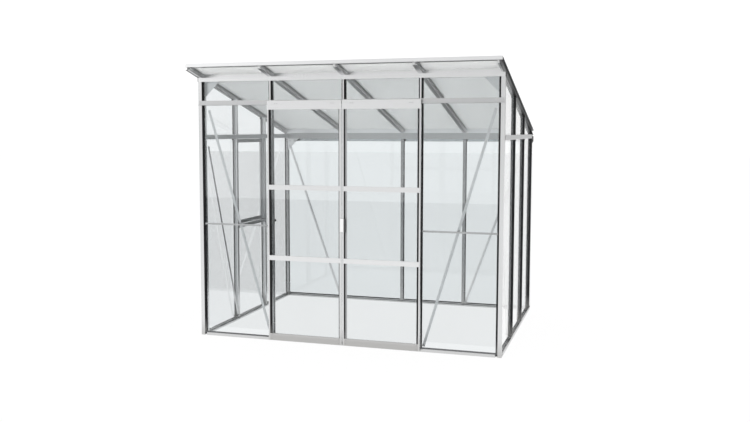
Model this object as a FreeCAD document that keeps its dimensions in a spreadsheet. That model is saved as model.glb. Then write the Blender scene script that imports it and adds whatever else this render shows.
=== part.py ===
import FreeCAD, Part
import os
import re

# A pent-roof greenhouse of aluminium glazing bars: four bays wide, three bays deep,
# a high front wall with two sliding door leaves in its middle bays, and a roof that
# falls to a gutter behind.  X runs along the front wall, Y from front to rear, Z up.
# Walls are measured by their depth from the outermost plane of the frame inwards.
# The door leaves hang in the two bays beside the middle bar line of the front wall.

doc = FreeCAD.newDocument("Greenhouse")

# ---------------------------------------------------------------- driving sizes, mm
SIZES = (
    ("bays_wide", 4, "bays along the front"),
    ("bays_deep", 3, "bays along a side"),
    ("pitch", 640, "from one glazing bar to the next"),
    ("corner_leg", 20, "from the last bar line to the outer face of a corner post"),
    ("front_height", 2216, "top of the front eave beam at its outer edge"),
    ("rear_height", 1735, "top of the rear eave beam at its outer edge"),
    ("overhang", 215, "roof in front of the front wall"),
    ("roof_tail", 34, "roof behind the rear wall, over the gutter"),
    ("roof_lap", 5, "roof edge past the side walls"),
    ("wall_depth", 50, "depth of posts and bars"),
    ("sill_height", 24, "base sill"),
    ("sill_wall", 3, "wall thickness of the sill channel"),
    ("eave_height", 34, "front eave beam at its outer face"),
    ("clerestory", 160, "glass between the front transom and the front eave beam"),
    ("transom_height", 39, "front transom"),
    ("rail_drop", 1, "top of the side rails below the rear eave"),
    ("rail_height", 39, "side rails"),
    ("rear_beam_height", 49, "rear eave beam at its outer face"),
    ("upstand_gap", 2, "upstand of the front eave beam to roof bars and sheets"),
    ("post_nose", 32, "outer face of a corner post"),
    ("rib_width", 12, "outer rib of a glazing bar"),
    ("glass_inset", 19, "glass behind the outer plane"),
    ("glass_thick", 4, "glass"),
    ("glass_gap", 2, "glass edge to metal"),
    ("seat_width", 40, "flange that the glass lies on"),
    ("seat_thick", 2, "thickness of that flange"),
    ("web_width", 8, "web of a glazing bar"),
    ("flange_width", 30, "inner flange of a glazing bar"),
    ("flange_thick", 3, "thickness of that flange"),
    ("seal_width", 11, "rubber glazing seal"),
    ("seal_foot", 4, "thickness of a seal on the glass"),
    ("seal_lip", 2, "thickness of a seal on the flank of a rib"),
    ("seal_drop", 2, "edge of that lip below the rib's outer face"),
    ("seam_height", 972, "joint between two panes in a fixed bay"),
    ("seam_gap", 2, "gap between those panes"),
    ("seam_width", 15, "strip over that joint"),
    ("seam_thick", 4, "thickness of that strip"),
    ("roof_bar_depth", 42, "roof bar below the panel"),
    ("roof_bar_width", 36, "roof bar flange"),
    ("roof_panel", 6, "roof sheet"),
    ("roof_seal", 4, "rubber strip on a roof bar"),
    ("fascia_height", 30, "front edge profile of the roof"),
    ("fascia_depth", 14, "front edge profile, front to back"),
    ("brace_width", 22, "flat diagonal brace"),
    ("brace_thick", 3, "its thickness"),
    ("brace_end", 25, "end of a brace beside a bar line or a post"),
    ("brace_foot", 10, "foot of a brace above the sill"),
    ("front_brace_drop", 40, "head of a front brace below the transom"),
    ("side_brace_drop", 60, "head of a side brace below the side rail"),
    ("rear_brace_drop", 76, "head of a rear brace below the rear eave beam"),
    ("gusset_leg", 120, "corner gusset"),
    ("gusset_tip", 1, "narrow end of a gusset"),
    ("cap_thick", 4, "end caps of the front eave beam and the gutter"),
    ("leaf_gap", 6, "door leaf in front of the wall"),
    ("leaf_depth", 27, "door leaf"),
    ("leaf_overlap", 12, "door leaf past the bar line at its outer edge"),
    ("leaf_meet", 3, "half of the gap between the leaves"),
    ("leaf_bottom", 10, "underside of a door leaf"),
    ("leaf_rib", 12, "outer rib of a door stile"),
    ("leaf_seat", 30, "width of a door stile"),
    ("leaf_glass_inset", 12, "door glass behind the face of the leaf"),
    ("header_drop", 41, "underside of the door header below the transom"),
    ("header_height", 73, "door header"),
    ("header_proud", 5, "header in front of the stiles"),
    ("header_skin", 3, "thickness of its front"),
    ("track_clearance", 8, "solid part of the header below the track"),
    ("bottom_rail", 57, "bottom rail of a door leaf"),
    ("mid_rail", 40, "middle rails of a door leaf"),
    ("lower_rail_at", 690, "underside of the lower middle rail"),
    ("upper_rail_at", 1281, "underside of the upper middle rail"),
    ("track_plate", 3, "back plate of the door track"),
    ("track_lip", 5, "thickness of the door track"),
    ("track_inset", 6, "end of the track from the outer face of a corner post"),
    ("lip_clearance", 7, "front edge of the track behind the header's front"),
    ("roller_diameter", 22, "door roller"),
    ("roller_width", 8, "door roller"),
    ("roller_inset", 90, "door roller from the end of the header"),
    ("roller_gap", 0.5, "door roller above the track"),
    ("roller_stand_off", 6, "door roller behind the header's front"),
    ("axle_diameter", 6, "axle of a door roller"),
    ("handle_at", 950, "underside of the door handle"),
    ("handle_height", 106, "door handle"),
    ("plate_width", 32, "handle plate of the left leaf, across both meeting stiles"),
    ("plate_reach", 20, "part of that plate in front of the right leaf"),
    ("handle_thick", 14, "handle plate in front of the leaf"),
    ("grip_width", 12, "grip of the right leaf"),
    ("grip_base", 3, "thickness of the foot that screws it to the meeting rib"),
    ("moving_gap", 5, "handle plate to that grip"),
    ("gutter_depth", 60, "rear gutter, front to back"),
    ("gutter_height", 55, "rear gutter"),
    ("gutter_wall", 2, "gutter wall"),
    ("gutter_drop", 20, "gutter's edge below the rear eave"),
    ("pipe_diameter", 22, "downpipe"),
    ("pipe_foot", 20, "end of the downpipe above the ground"),
    ("outlet_top", 44, "funnel under the gutter at its wide end"),
    ("outlet_length", 100, "that funnel"),
    ("collar_diameter", 30, "collar between the funnel and the downpipe"),
    ("collar_length", 24, "that collar"),
    ("vent_bottom", 895, "underside of the side vent"),
    ("vent_member", 34, "frame member of the side vent"),
    ("vent_depth", 16, "thickness of the side vent"),
    ("vent_gap", 3, "side vent to the seals, the rail and the bar below it"),
    ("vent_bar", 28, "fixed cross bar under the side vent"),
    ("stay_reach", 250, "stay of the side vent, into the house"),
    ("stay_width", 16, "that stay"),
    ("stay_thick", 5, "its thickness"),
    ("knob_diameter", 24, "knob of that stay"),
    ("knob_length", 22, "that knob"),
)

sheet = doc.addObject("Spreadsheet::Sheet", "Sizes")
for row, (name, value, note) in enumerate(SIZES, start=1):
    sheet.set(f"A{row}", name)
    sheet.set(f"B{row}", str(value))
    sheet.setAlias(f"B{row}", name)
    sheet.set(f"C{row}", note)
doc.recompute()
VALUES = {name: value for name, value, note in SIZES}


def bound(text):
    """The expression with each size's name pointing at its cell."""
    return re.sub(r"[a-z_]+", lambda m: f"Sizes.{m[0]}" if m[0] in VALUES else m[0], text)


def bind(thing, **expressions):
    """Bind properties of a document object to expressions of the sizes."""
    for prop, text in expressions.items():
        thing.setExpression(prop.replace("__", "."), bound(text))


# ---------------------------------------------------------------- derived places
HALF = "(bays_wide * pitch / 2 + corner_leg)"
DEPTH = "(bays_deep * pitch + 2 * corner_leg)"
FRONT = f"(-({DEPTH} + gutter_depth - overhang) / 2)"
FALL = f"((front_height - rear_height) / {DEPTH})"
ROOF_ANGLE = f"atan({FALL})"
GLASS_BACK = "(glass_inset + glass_thick)"
EAVE_BOTTOM = "(front_height - eave_height)"
TRANSOM_TOP = f"({EAVE_BOTTOM} - clerestory)"
TRANSOM_BOTTOM = f"({TRANSOM_TOP} - transom_height)"
RAIL_TOP = "(rear_height - rail_drop)"
RAIL_BOTTOM = f"({RAIL_TOP} - rail_height)"
REAR_BEAM_BOTTOM = "(rear_height - rear_beam_height)"
HEADER_BOTTOM = f"({TRANSOM_BOTTOM} - header_drop)"


def roof_line(y):
    """Height of the plane that the roof bars lie on, at a distance y from the front."""
    return f"(front_height - {FALL} * ({y}))"


def bar_line(number, bays):
    """Place of a bar line along a wall, measured from the middle of that wall."""
    return f"(({number} - {bays} / 2) * pitch)"


# ---------------------------------------------------------------- solids
def block(x, y, z):
    """A box between low and high expressions on each axis."""
    box = doc.addObject("Part::Box", "Block")
    bind(box, Length=f"({x[1]}) - ({x[0]})", Width=f"({y[1]}) - ({y[0]})",
         Height=f"({z[1]}) - ({z[0]})", Placement__Base__x=x[0],
         Placement__Base__y=y[0], Placement__Base__z=z[0])
    return box


def under_roof(x, y, bottom):
    """A box whose top follows the roof line."""
    wedge = doc.addObject("Part::Wedge", "UnderRoof")
    bind(wedge, Xmin=x[0], Xmax=x[1], X2min=x[0], X2max=x[1], Ymin=y[0], Ymax=y[1],
         Zmin=bottom, Z2min=bottom, Zmax=roof_line(y[0]), Z2max=roof_line(y[1]))
    return wedge


def fused(pieces):
    """One solid from pieces that overlap or share faces."""
    if len(pieces) == 1:
        return pieces[0]
    fuse = doc.addObject("Part::MultiFuse", "Joined")
    fuse.Shapes = pieces
    fuse.Refine = True
    return fuse


NODES = []


def node(label, solids, tilted=False):
    """A named sub-part of separate solids, stood in the part's own frame."""
    group = doc.addObject("Part::Compound", "Node")
    group.Links = solids
    group.Label = label
    if tilted:
        group.Placement.Rotation = FreeCAD.Rotation(FreeCAD.Vector(1, 0, 0), -1)
        bind(group, Placement__Rotation__Angle=ROOF_ANGLE, Placement__Base__z="front_height")
        group.Placement.Rotation.Axis = FreeCAD.Vector(-1, 0, 0)
    bind(group, Placement__Base__y=FRONT)
    NODES.append(group)
    return group


class Wall:
    """One wall: runs along X or Y, with depth counted inwards from its outer plane."""

    def __init__(self, side):
        self.side = side
        self.across = side in ("front", "rear")
        self.bays = "bays_wide" if self.across else "bays_deep"
        self.count = VALUES[self.bays]
        self.length = f"({self.bays} * pitch + 2 * corner_leg)"
        self.middle = "0" if self.across else f"({DEPTH} / 2)"

    def line(self, number):
        """Bar line by number from the wall's left or front end."""
        return f"({self.middle} + {bar_line(number, self.bays)})"

    def inner(self, depth):
        """Low and high places of a depth range on the axis through the wall."""
        low, high = depth
        if self.side == "front":
            return (low, high)
        if self.side == "rear":
            return (f"({DEPTH} - ({high}))", f"({DEPTH} - ({low}))")
        if self.side == "left":
            return (f"(-{HALF} + ({low}))", f"(-{HALF} + ({high}))")
        return (f"({HALF} - ({high}))", f"({HALF} - ({low}))")

    def block(self, along, depth, height):
        """A box in wall measures; a height with no top follows the roof line."""
        through = self.inner(depth)
        x, y = (along, through) if self.across else (through, along)
        if height[1] is None:
            return under_roof(x, y, height[0])
        return block(x, y, height)

    def bar(self, centre, height):
        """A glazing bar: outer rib, seat for the glass, web and inner flange."""
        def slab(width, low, high):
            along = (f"({centre} - {width} / 2)", f"({centre} + {width} / 2)")
            return self.block(along, (low, high), height)

        seat_back = f"({GLASS_BACK} + seat_thick)"
        return fused([
            slab("rib_width", "0", seat_back),
            slab("seat_width", GLASS_BACK, seat_back),
            slab("web_width", GLASS_BACK, "wall_depth"),
            slab("flange_width", "(wall_depth - flange_thick)", "wall_depth"),
        ])

    def edges(self, number):
        """Low and high metal faces beside the pane of a bay, counted from 1."""
        low = f"({self.line(number - 1)} + rib_width / 2)"
        high = f"({self.line(number)} - rib_width / 2)"
        if number == 1:
            low = f"({self.line(0)} - corner_leg + post_nose)"
        if number == self.count:
            high = f"({self.line(number)} + corner_leg - post_nose)"
        return low, high

    def pane(self, number, height):
        """A sheet of glass in a bay."""
        low, high = self.edges(number)
        return self.block((f"({low} + glass_gap)", f"({high} - glass_gap)"),
                          ("glass_inset", GLASS_BACK), height)

    def seals(self, number, height):
        """The two upright rubber seals of a bay: a foot on the glass and a lip up the rib."""
        low, high = self.edges(number)
        foot, lip = ("glass_inset - seal_foot", "glass_inset"), ("seal_drop", "glass_inset")
        return [
            fused([self.block((low, f"({low} + seal_width)"), foot, height),
                   self.block((low, f"({low} + seal_lip)"), lip, height)]),
            fused([self.block((f"({high} - seal_width)", high), foot, height),
                   self.block((f"({high} - seal_lip)", high), lip, height)]),
        ]


WALLS = {side: Wall(side) for side in ("front", "rear", "left", "right")}
BETWEEN_X = (f"(-{HALF} + wall_depth)", f"({HALF} - wall_depth)")
BETWEEN_Y = ("wall_depth", f"({DEPTH} - wall_depth)")


# ---------------------------------------------------------------- base and posts
def sill(wall, along):
    """A channel that the glass stands in."""
    seat = (GLASS_BACK, f"({GLASS_BACK} + sill_wall)")
    return fused([
        wall.block(along, ("0", "wall_depth"), ("0", "sill_wall * 2")),
        wall.block(along, ("0", "sill_wall"), ("0", "sill_height")),
        wall.block(along, seat, ("0", "sill_height")),
        wall.block(along, ("(wall_depth - sill_wall)", "wall_depth"), ("0", "sill_height / 2")),
    ])


def corner_post(x_side, y_side):
    """A corner post: an outer nose and an inner core that both panes lie on."""
    def run(low, high, x_axis):
        half, side = (HALF, x_side) if x_axis else (f"({DEPTH} / 2)", y_side)
        middle = "0" if x_axis else f"({DEPTH} / 2)"
        if side < 0:
            return (f"({middle} - {half} + {low})", f"({middle} - {half} + {high})")
        return (f"({middle} + {half} - {high})", f"({middle} + {half} - {low})")

    top = EAVE_BOTTOM if y_side < 0 else REAR_BEAM_BOTTOM
    nose = "post_nose"
    return fused([
        block(run("0", nose, True), run("0", nose, False), ("0", top)),
        block(run(GLASS_BACK, "wall_depth", True), run(GLASS_BACK, "wall_depth", False), ("0", top)),
    ])


node("base_sills", [
    sill(WALLS["front"], BETWEEN_X),
    sill(WALLS["rear"], BETWEEN_X),
    sill(WALLS["left"], BETWEEN_Y),
    sill(WALLS["right"], BETWEEN_Y),
])
node("corner_posts", [corner_post(x, y) for y in (-1, 1) for x in (-1, 1)])


# ---------------------------------------------------------------- glazing bars
LOWER = {
    "front": ("sill_height", TRANSOM_BOTTOM),
    "rear": ("sill_height", REAR_BEAM_BOTTOM),
    "left": ("sill_height", RAIL_BOTTOM),
    "right": ("sill_height", RAIL_BOTTOM),
}
CLERESTORY = (TRANSOM_TOP, EAVE_BOTTOM)
GABLE = (RAIL_TOP, None)

front, rear = WALLS["front"], WALLS["rear"]
node("front_glazing_bars",
     [front.bar(front.line(n), LOWER["front"]) for n in (1, 3)]
     + [front.bar(front.line(n), CLERESTORY) for n in (1, 2, 3)])
node("rear_glazing_bars", [rear.bar(rear.line(n), LOWER["rear"]) for n in (1, 2, 3)])
node("side_glazing_bars", [
    WALLS[side].bar(WALLS[side].line(n), height)
    for side in ("left", "right")
    for height in (LOWER[side], GABLE)
    for n in (1, 2)
])


# ---------------------------------------------------------------- beams and rails
def roof_bar_places():
    """Low and high X of each roof bar's flange, edge bars first."""
    outer = f"({HALF} + roof_lap)"
    places = [(f"(-{outer})", f"(-{outer} + roof_bar_width)"),
              (f"({outer} - roof_bar_width)", outer)]
    for number in (1, 2, 3):
        centre = bar_line(number, "bays_wide")
        places.append((f"({centre} - roof_bar_width / 2)", f"({centre} + roof_bar_width / 2)"))
    return places


EDGE_BARS, MIDDLE_BARS = roof_bar_places()[:2], roof_bar_places()[2:]
ROOF_GAPS = [
    (EDGE_BARS[0][1], MIDDLE_BARS[0][0]),
    (MIDDLE_BARS[0][1], MIDDLE_BARS[1][0]),
    (MIDDLE_BARS[1][1], MIDDLE_BARS[2][0]),
    (MIDDLE_BARS[2][1], EDGE_BARS[1][0]),
]

UPSTAND_RISE = f"(roof_bar_depth / cos({ROOF_ANGLE}) - upstand_gap)"


def upstands(y_low, y_high, bottom):
    """Plates on an eave beam that close the space under the sheets between the roof bars."""
    plates = []
    for low, high in ROOF_GAPS:
        x_low, x_high = f"({low} + upstand_gap)", f"({high} - upstand_gap)"
        plate = doc.addObject("Part::Wedge", "EaveUpstand")
        bind(plate, Xmin=x_low, Xmax=x_high, X2min=x_low, X2max=x_high,
             Ymin=y_low, Ymax=y_high, Zmin=bottom, Z2min=bottom,
             Zmax=f"({roof_line(y_low)} + {UPSTAND_RISE})",
             Z2max=f"({roof_line(y_high)} + {UPSTAND_RISE})")
        plates.append(plate)
    return plates


WIDE = (f"(-{HALF})", HALF)
# Behind the post's nose each beam stops short of the gable glass.
NARROW = (f"(-{HALF} + {GLASS_BACK})", f"({HALF} - {GLASS_BACK})")
node("front_eave_beam", [fused([
    under_roof(WIDE, ("0", "post_nose"), EAVE_BOTTOM),
    under_roof(NARROW, ("post_nose", "wall_depth"), EAVE_BOTTOM),
] + upstands("(wall_depth - sill_wall)", "wall_depth", EAVE_BOTTOM))])
node("rear_eave_beam", [fused([
    under_roof(WIDE, (f"({DEPTH} - post_nose)", DEPTH), REAR_BEAM_BOTTOM),
    under_roof(NARROW, (BETWEEN_Y[1], f"({DEPTH} - post_nose)"), REAR_BEAM_BOTTOM),
] + upstands(BETWEEN_Y[1], f"({BETWEEN_Y[1]} + sill_wall)", REAR_BEAM_BOTTOM))])
node("front_transom", [block(BETWEEN_X, ("0", "wall_depth"), (TRANSOM_BOTTOM, TRANSOM_TOP))])
node("side_rails", [
    WALLS[side].block(BETWEEN_Y, ("0", "wall_depth"), (RAIL_BOTTOM, RAIL_TOP))
    for side in ("left", "right")
])

# The track stands on the transom's face: a back plate and a lip that the rollers run on.
TRACK_X = (f"(-{HALF} + track_inset)", f"({HALF} - track_inset)")
LEAF_FACE = "(-leaf_gap - leaf_depth)"
HEADER_FACE = f"({LEAF_FACE} - header_proud)"
HEADER_INNER = f"({HEADER_FACE} + header_skin)"
node("door_track", [fused([
    block(TRACK_X, ("-track_plate", "0"), (TRANSOM_BOTTOM, TRANSOM_TOP)),
    block(TRACK_X, (f"{HEADER_INNER} + lip_clearance", "0"),
          (TRANSOM_BOTTOM, f"{TRANSOM_BOTTOM} + track_lip")),
])])


# ---------------------------------------------------------------- roof
# Roof pieces are laid out flat, with Y along the slope and Z square to it, and tilted.
def along_slope(y):
    """Distance along the slope for a level distance y from the front."""
    return f"(({y}) / cos({ROOF_ANGLE}))"


# The lower front corner of the fascia reaches the full overhang.
FASCIA_TOP = "(roof_bar_depth + roof_panel + roof_seal)"
FASCIA_BOTTOM = f"({FASCIA_TOP} - fascia_height)"
SLOPE = (along_slope(f"-overhang - {FASCIA_BOTTOM} * sin({ROOF_ANGLE})"),
         along_slope(f"{DEPTH} + roof_tail"))
PANEL = ("roof_bar_depth", "(roof_bar_depth + roof_panel)")


def roof_bar(place):
    """An I-shaped roof bar: bottom flange, web and the seat under the sheets."""
    low, high = place
    middle = f"(({low} + {high}) / 2)"
    web = (f"({middle} - web_width / 2)", f"({middle} + web_width / 2)")
    run = (f"({SLOPE[0]} + fascia_depth)", SLOPE[1])
    return fused([
        block((low, high), run, ("0", "flange_thick")),
        block(web, run, ("0", "roof_bar_depth")),
        block((low, high), run, ("(roof_bar_depth - seat_thick)", "roof_bar_depth")),
        block(web, run, ("0", "(roof_bar_depth + roof_panel)")),
    ])


node("roof_edge_bars", [roof_bar(place) for place in EDGE_BARS], tilted=True)
node("roof_bars", [roof_bar(place) for place in MIDDLE_BARS], tilted=True)


def sheet_edge(place, side):
    """X of a roof sheet's edge beside a bar's web."""
    return f"(({place[0]} + {place[1]}) / 2 {side} (web_width / 2 + glass_gap))"


BAR_ROW = [EDGE_BARS[0]] + MIDDLE_BARS + [EDGE_BARS[1]]
panels = []
for left_bar, right_bar in zip(BAR_ROW, BAR_ROW[1:]):
    span = (sheet_edge(left_bar, "+"), sheet_edge(right_bar, "-"))
    panels.append(block(span, (f"({SLOPE[0]} + fascia_depth)", SLOPE[1]), PANEL))
node("roof_panels", panels, tilted=True)

caps = []
for low, high in BAR_ROW:
    top = "(roof_bar_depth + roof_panel)"
    caps.append(block((low, high), (f"({SLOPE[0]} + fascia_depth)", SLOPE[1]),
                      (top, f"({top} + roof_seal)")))
node("roof_bar_seals", caps, tilted=True)

node("roof_fascia", [
    block((f"(-{HALF} - roof_lap)", f"({HALF} + roof_lap)"),
          (SLOPE[0], f"({SLOPE[0]} + fascia_depth)"),
          (FASCIA_BOTTOM, FASCIA_TOP)),
], tilted=True)


# ---------------------------------------------------------------- glass
SEAM_LOW = "(seam_height - seam_width / 2)"
SEAM_HIGH = "(seam_height + seam_width / 2)"
PANE_FOOT = "(sill_wall * 2 + glass_gap)"
FIXED_BAYS = (1, 4)
ALL_ACROSS = (1, 2, 3, 4)
ALL_DEEP = (1, 2, 3)

panes, strips = [], []
for number in FIXED_BAYS:
    low, high = front.edges(number)
    panes.append(front.pane(number, (PANE_FOOT, "(seam_height - seam_gap / 2)")))
    panes.append(front.pane(number, ("(seam_height + seam_gap / 2)", TRANSOM_BOTTOM)))
    strips.append(front.block((f"({low} + seal_width)", f"({high} - seal_width)"),
                              ("(glass_inset - seam_thick)", "glass_inset"), (SEAM_LOW, SEAM_HIGH)))
panes += [front.pane(number, CLERESTORY) for number in ALL_ACROSS]
node("front_wall_glass", panes)
node("pane_seam_strips", strips)
node("rear_wall_glass", [rear.pane(n, (PANE_FOOT, REAR_BEAM_BOTTOM)) for n in ALL_ACROSS])

# The left wall's middle bay has a vent over a cross bar; its fixed pane ends at that bar.
VENT_BAY = 2
VENT_BAR_TOP = "(vent_bottom - vent_gap)"
VENT_BAR_BOTTOM = f"({VENT_BAR_TOP} - vent_bar)"
side_panes = []
for side in ("left", "right"):
    for number in ALL_DEEP:
        has_vent = side == "left" and number == VENT_BAY
        top = VENT_BAR_BOTTOM if has_vent else RAIL_BOTTOM
        side_panes.append(WALLS[side].pane(number, (PANE_FOOT, top)))
        side_panes.append(WALLS[side].pane(number, GABLE))
node("side_wall_glass", side_panes)


# ---------------------------------------------------------------- rubber seals
front_seals = []
for number in ALL_ACROSS:
    front_seals += front.seals(number, CLERESTORY)
for number in FIXED_BAYS:
    front_seals += front.seals(number, LOWER["front"])
node("front_seals", front_seals)
node("rear_seals", [seal for n in ALL_ACROSS for seal in rear.seals(n, LOWER["rear"])])
node("side_seals", [
    seal
    for side in ("left", "right")
    for n in ALL_DEEP
    for height in (LOWER[side], GABLE)
    for seal in WALLS[side].seals(n, height)
])


# ---------------------------------------------------------------- side vent
left = WALLS["left"]
low, high = left.edges(VENT_BAY)
vent_low = f"({low} + seal_width + vent_gap)"
vent_high = f"({high} - seal_width - vent_gap)"
VENT_TOP = f"({RAIL_BOTTOM} - vent_gap)"
VENT_FACE = f"({GLASS_BACK} - vent_depth)"
VENT_LEVELS = ("vent_bottom + vent_member", f"({VENT_TOP} - vent_member)")


def vent_piece(along, height):
    """A member of the vent's frame, through its whole thickness."""
    return left.block(along, (VENT_FACE, GLASS_BACK), height)


# The cross bar stands between the seats of the two glazing bars.
node("vent_crossbar", [left.block((f"({left.line(VENT_BAY - 1)} + seat_width / 2)",
                                   f"({left.line(VENT_BAY)} - seat_width / 2)"),
                                  ("glass_inset", "wall_depth"), (VENT_BAR_BOTTOM, VENT_BAR_TOP))])
node("vent_frame", [fused([
    vent_piece((vent_low, f"({vent_low} + vent_member)"), ("vent_bottom", VENT_TOP)),
    vent_piece((f"({vent_high} - vent_member)", vent_high), ("vent_bottom", VENT_TOP)),
    vent_piece((vent_low, vent_high), ("vent_bottom", VENT_LEVELS[0])),
    vent_piece((vent_low, vent_high), (VENT_LEVELS[1], VENT_TOP)),
])])
node("vent_glass", [
    left.block((f"({vent_low} + vent_member)", f"({vent_high} - vent_member)"),
               ("(glass_inset - glass_thick)", "glass_inset"), VENT_LEVELS),
])
stay_y = left.line(VENT_BAY - 0.5)
STAY_LEVEL = "(vent_bottom + vent_member / 2)"
STAY_END = f"(-{HALF} + {GLASS_BACK} + stay_reach)"
node("vent_stay", [
    left.block((f"({stay_y} - stay_width / 2)", f"({stay_y} + stay_width / 2)"),
               (GLASS_BACK, f"({GLASS_BACK} + stay_reach)"),
               (f"({STAY_LEVEL} - stay_thick / 2)", f"({STAY_LEVEL} + stay_thick / 2)")),
])
knob = doc.addObject("Part::Cylinder", "Knob")
knob.Placement.Rotation = FreeCAD.Rotation(FreeCAD.Vector(0, 1, 0), 90)
bind(knob, Radius="knob_diameter / 2", Height="knob_length", Placement__Base__x=STAY_END,
     Placement__Base__y=stay_y, Placement__Base__z=STAY_LEVEL)
node("vent_knob", [knob])


# ---------------------------------------------------------------- braces and gussets
def brace(wall, start, end):
    """A flat bar centred on the line between two points of the inner face, as a rotated box."""
    (a_low, z_low), (a_high, z_high) = start, end
    run = f"(({a_high}) - ({a_low}))"
    rise = f"(({z_high}) - ({z_low}))"
    strip = doc.addObject("Part::Box", "Brace")
    through = wall.inner(("wall_depth", "wall_depth + brace_thick"))
    span = f"sqrt({run} * {run} + {rise} * {rise})"
    aside = f"(({a_low}) + brace_width / 2 * {rise} / {span})"
    level = f"(({z_low}) - brace_width / 2 * {run} / {span})"
    if wall.across:
        strip.Placement.Rotation = FreeCAD.Rotation(FreeCAD.Vector(0, -1, 0), 1)
        bind(strip, Length=span, Width="brace_thick", Height="brace_width",
             Placement__Rotation__Angle=f"atan2({rise}; {run})",
             Placement__Base__x=aside, Placement__Base__y=through[0], Placement__Base__z=level)
    else:
        strip.Placement.Rotation = FreeCAD.Rotation(FreeCAD.Vector(1, 0, 0), 1)
        bind(strip, Length="brace_thick", Width=span, Height="brace_width",
             Placement__Rotation__Angle=f"atan2({rise}; {run})",
             Placement__Base__x=through[0], Placement__Base__y=aside, Placement__Base__z=level)
    return strip


FOOT = "(sill_height + brace_foot)"
INSIDE = "(wall_depth + brace_end)"
right = WALLS["right"]
HEAD = {
    "front": f"{TRANSOM_BOTTOM} - front_brace_drop",
    "side": f"{RAIL_BOTTOM} - side_brace_drop",
    "rear": f"{REAR_BEAM_BOTTOM} - rear_brace_drop",
}
BRACE_FEET = {
    wall.side: (f"({wall.line(1)} - brace_end)", f"({wall.line(3)} + brace_end)")
    for wall in (front, rear, left, right)
}
LEFT_HEAD, RIGHT_HEAD = f"(-{HALF} + {INSIDE})", f"({HALF} - {INSIDE})"
node("wall_braces", [
    brace(front, (BRACE_FEET["front"][0], FOOT), (LEFT_HEAD, HEAD["front"])),
    brace(front, (BRACE_FEET["front"][1], FOOT), (RIGHT_HEAD, HEAD["front"])),
    brace(left, (BRACE_FEET["left"][0], FOOT), (INSIDE, HEAD["side"])),
    brace(right, (BRACE_FEET["right"][0], FOOT), (INSIDE, HEAD["side"])),
    brace(rear, (BRACE_FEET["rear"][0], FOOT), (LEFT_HEAD, HEAD["rear"])),
    brace(rear, (BRACE_FEET["rear"][1], FOOT), (RIGHT_HEAD, HEAD["rear"])),
])


def gusset(x_side, wall, top, over):
    """A triangular plate in the upper corner of a wall, over the frame or a brace on it."""
    plate = doc.addObject("Part::Wedge", "Gusset")
    through = wall.inner((f"(wall_depth + {over})", f"(wall_depth + {over} + brace_thick)"))
    corner = f"({HALF} - wall_depth)"
    reach = f"({corner} - gusset_leg)"
    if x_side < 0:
        low, high = f"(-{corner})", f"(-{reach})"
        peak_low, peak_high = low, f"({low} + gusset_tip)"
    else:
        low, high = reach, corner
        peak_low, peak_high = f"({high} - gusset_tip)", high
    # The wedge stands on its narrow end, so its own Y axis becomes the height.
    bind(plate, Xmin=peak_low, Xmax=peak_high, X2min=low, X2max=high, Ymin="0", Ymax="gusset_leg",
         Zmin="0", Zmax="brace_thick", Z2min="0", Z2max="brace_thick")
    plate.Placement.Rotation = FreeCAD.Rotation(FreeCAD.Vector(1, 0, 0), 90)
    bind(plate, Placement__Base__y=through[1], Placement__Base__z=f"({top} - gusset_leg)")
    return plate


node("corner_gussets", [
    gusset(-1, front, EAVE_BOTTOM, "0"),
    gusset(1, front, EAVE_BOTTOM, "0"),
    gusset(-1, rear, REAR_BEAM_BOTTOM, "brace_thick"),
    gusset(1, rear, REAR_BEAM_BOTTOM, "brace_thick"),
])


# ---------------------------------------------------------------- caps, gutter, downpipe
BEYOND_ENDS = ((f"(-{HALF} - cap_thick)", f"(-{HALF})"), (HALF, f"({HALF} + cap_thick)"))
node("eave_end_caps", [under_roof(x, ("0", "wall_depth"), EAVE_BOTTOM) for x in BEYOND_ENDS])

GUTTER_TOP = "(rear_height - gutter_drop)"
GUTTER_BOTTOM = f"({GUTTER_TOP} - gutter_height)"
GUTTER_Y = (DEPTH, f"({DEPTH} + gutter_depth)")
node("rear_gutter", [fused([
    block(WIDE, GUTTER_Y, (GUTTER_BOTTOM, f"({GUTTER_BOTTOM} + gutter_wall)")),
    block(WIDE, (GUTTER_Y[0], f"({GUTTER_Y[0]} + gutter_wall)"), (GUTTER_BOTTOM, GUTTER_TOP)),
    block(WIDE, (f"({GUTTER_Y[1]} - gutter_wall)", GUTTER_Y[1]), (GUTTER_BOTTOM, GUTTER_TOP)),
])])
node("gutter_end_caps", [block(x, GUTTER_Y, (GUTTER_BOTTOM, GUTTER_TOP)) for x in BEYOND_ENDS])


def pipe_piece(kind, length, bottom, **radii):
    """A round piece of the downpipe, upright at the right end of the gutter."""
    piece = doc.addObject(f"Part::{kind}", "Pipe")
    bind(piece, Height=length, Placement__Base__x=f"({HALF} - outlet_top / 2)",
         Placement__Base__y=f"({DEPTH} + gutter_depth / 2)", Placement__Base__z=bottom, **radii)
    return piece


OUTLET_BOTTOM = f"({GUTTER_BOTTOM} - outlet_length)"
COLLAR_BOTTOM = f"({OUTLET_BOTTOM} - collar_length)"
node("gutter_outlet", [pipe_piece("Cone", "outlet_length", OUTLET_BOTTOM,
                                  Radius1="pipe_diameter / 2", Radius2="outlet_top / 2")])
node("pipe_collar", [pipe_piece("Cylinder", "collar_length", COLLAR_BOTTOM,
                                Radius="collar_diameter / 2")])
node("downpipe", [pipe_piece("Cylinder", f"({COLLAR_BOTTOM} - pipe_foot)", "pipe_foot",
                             Radius="pipe_diameter / 2")])


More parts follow.
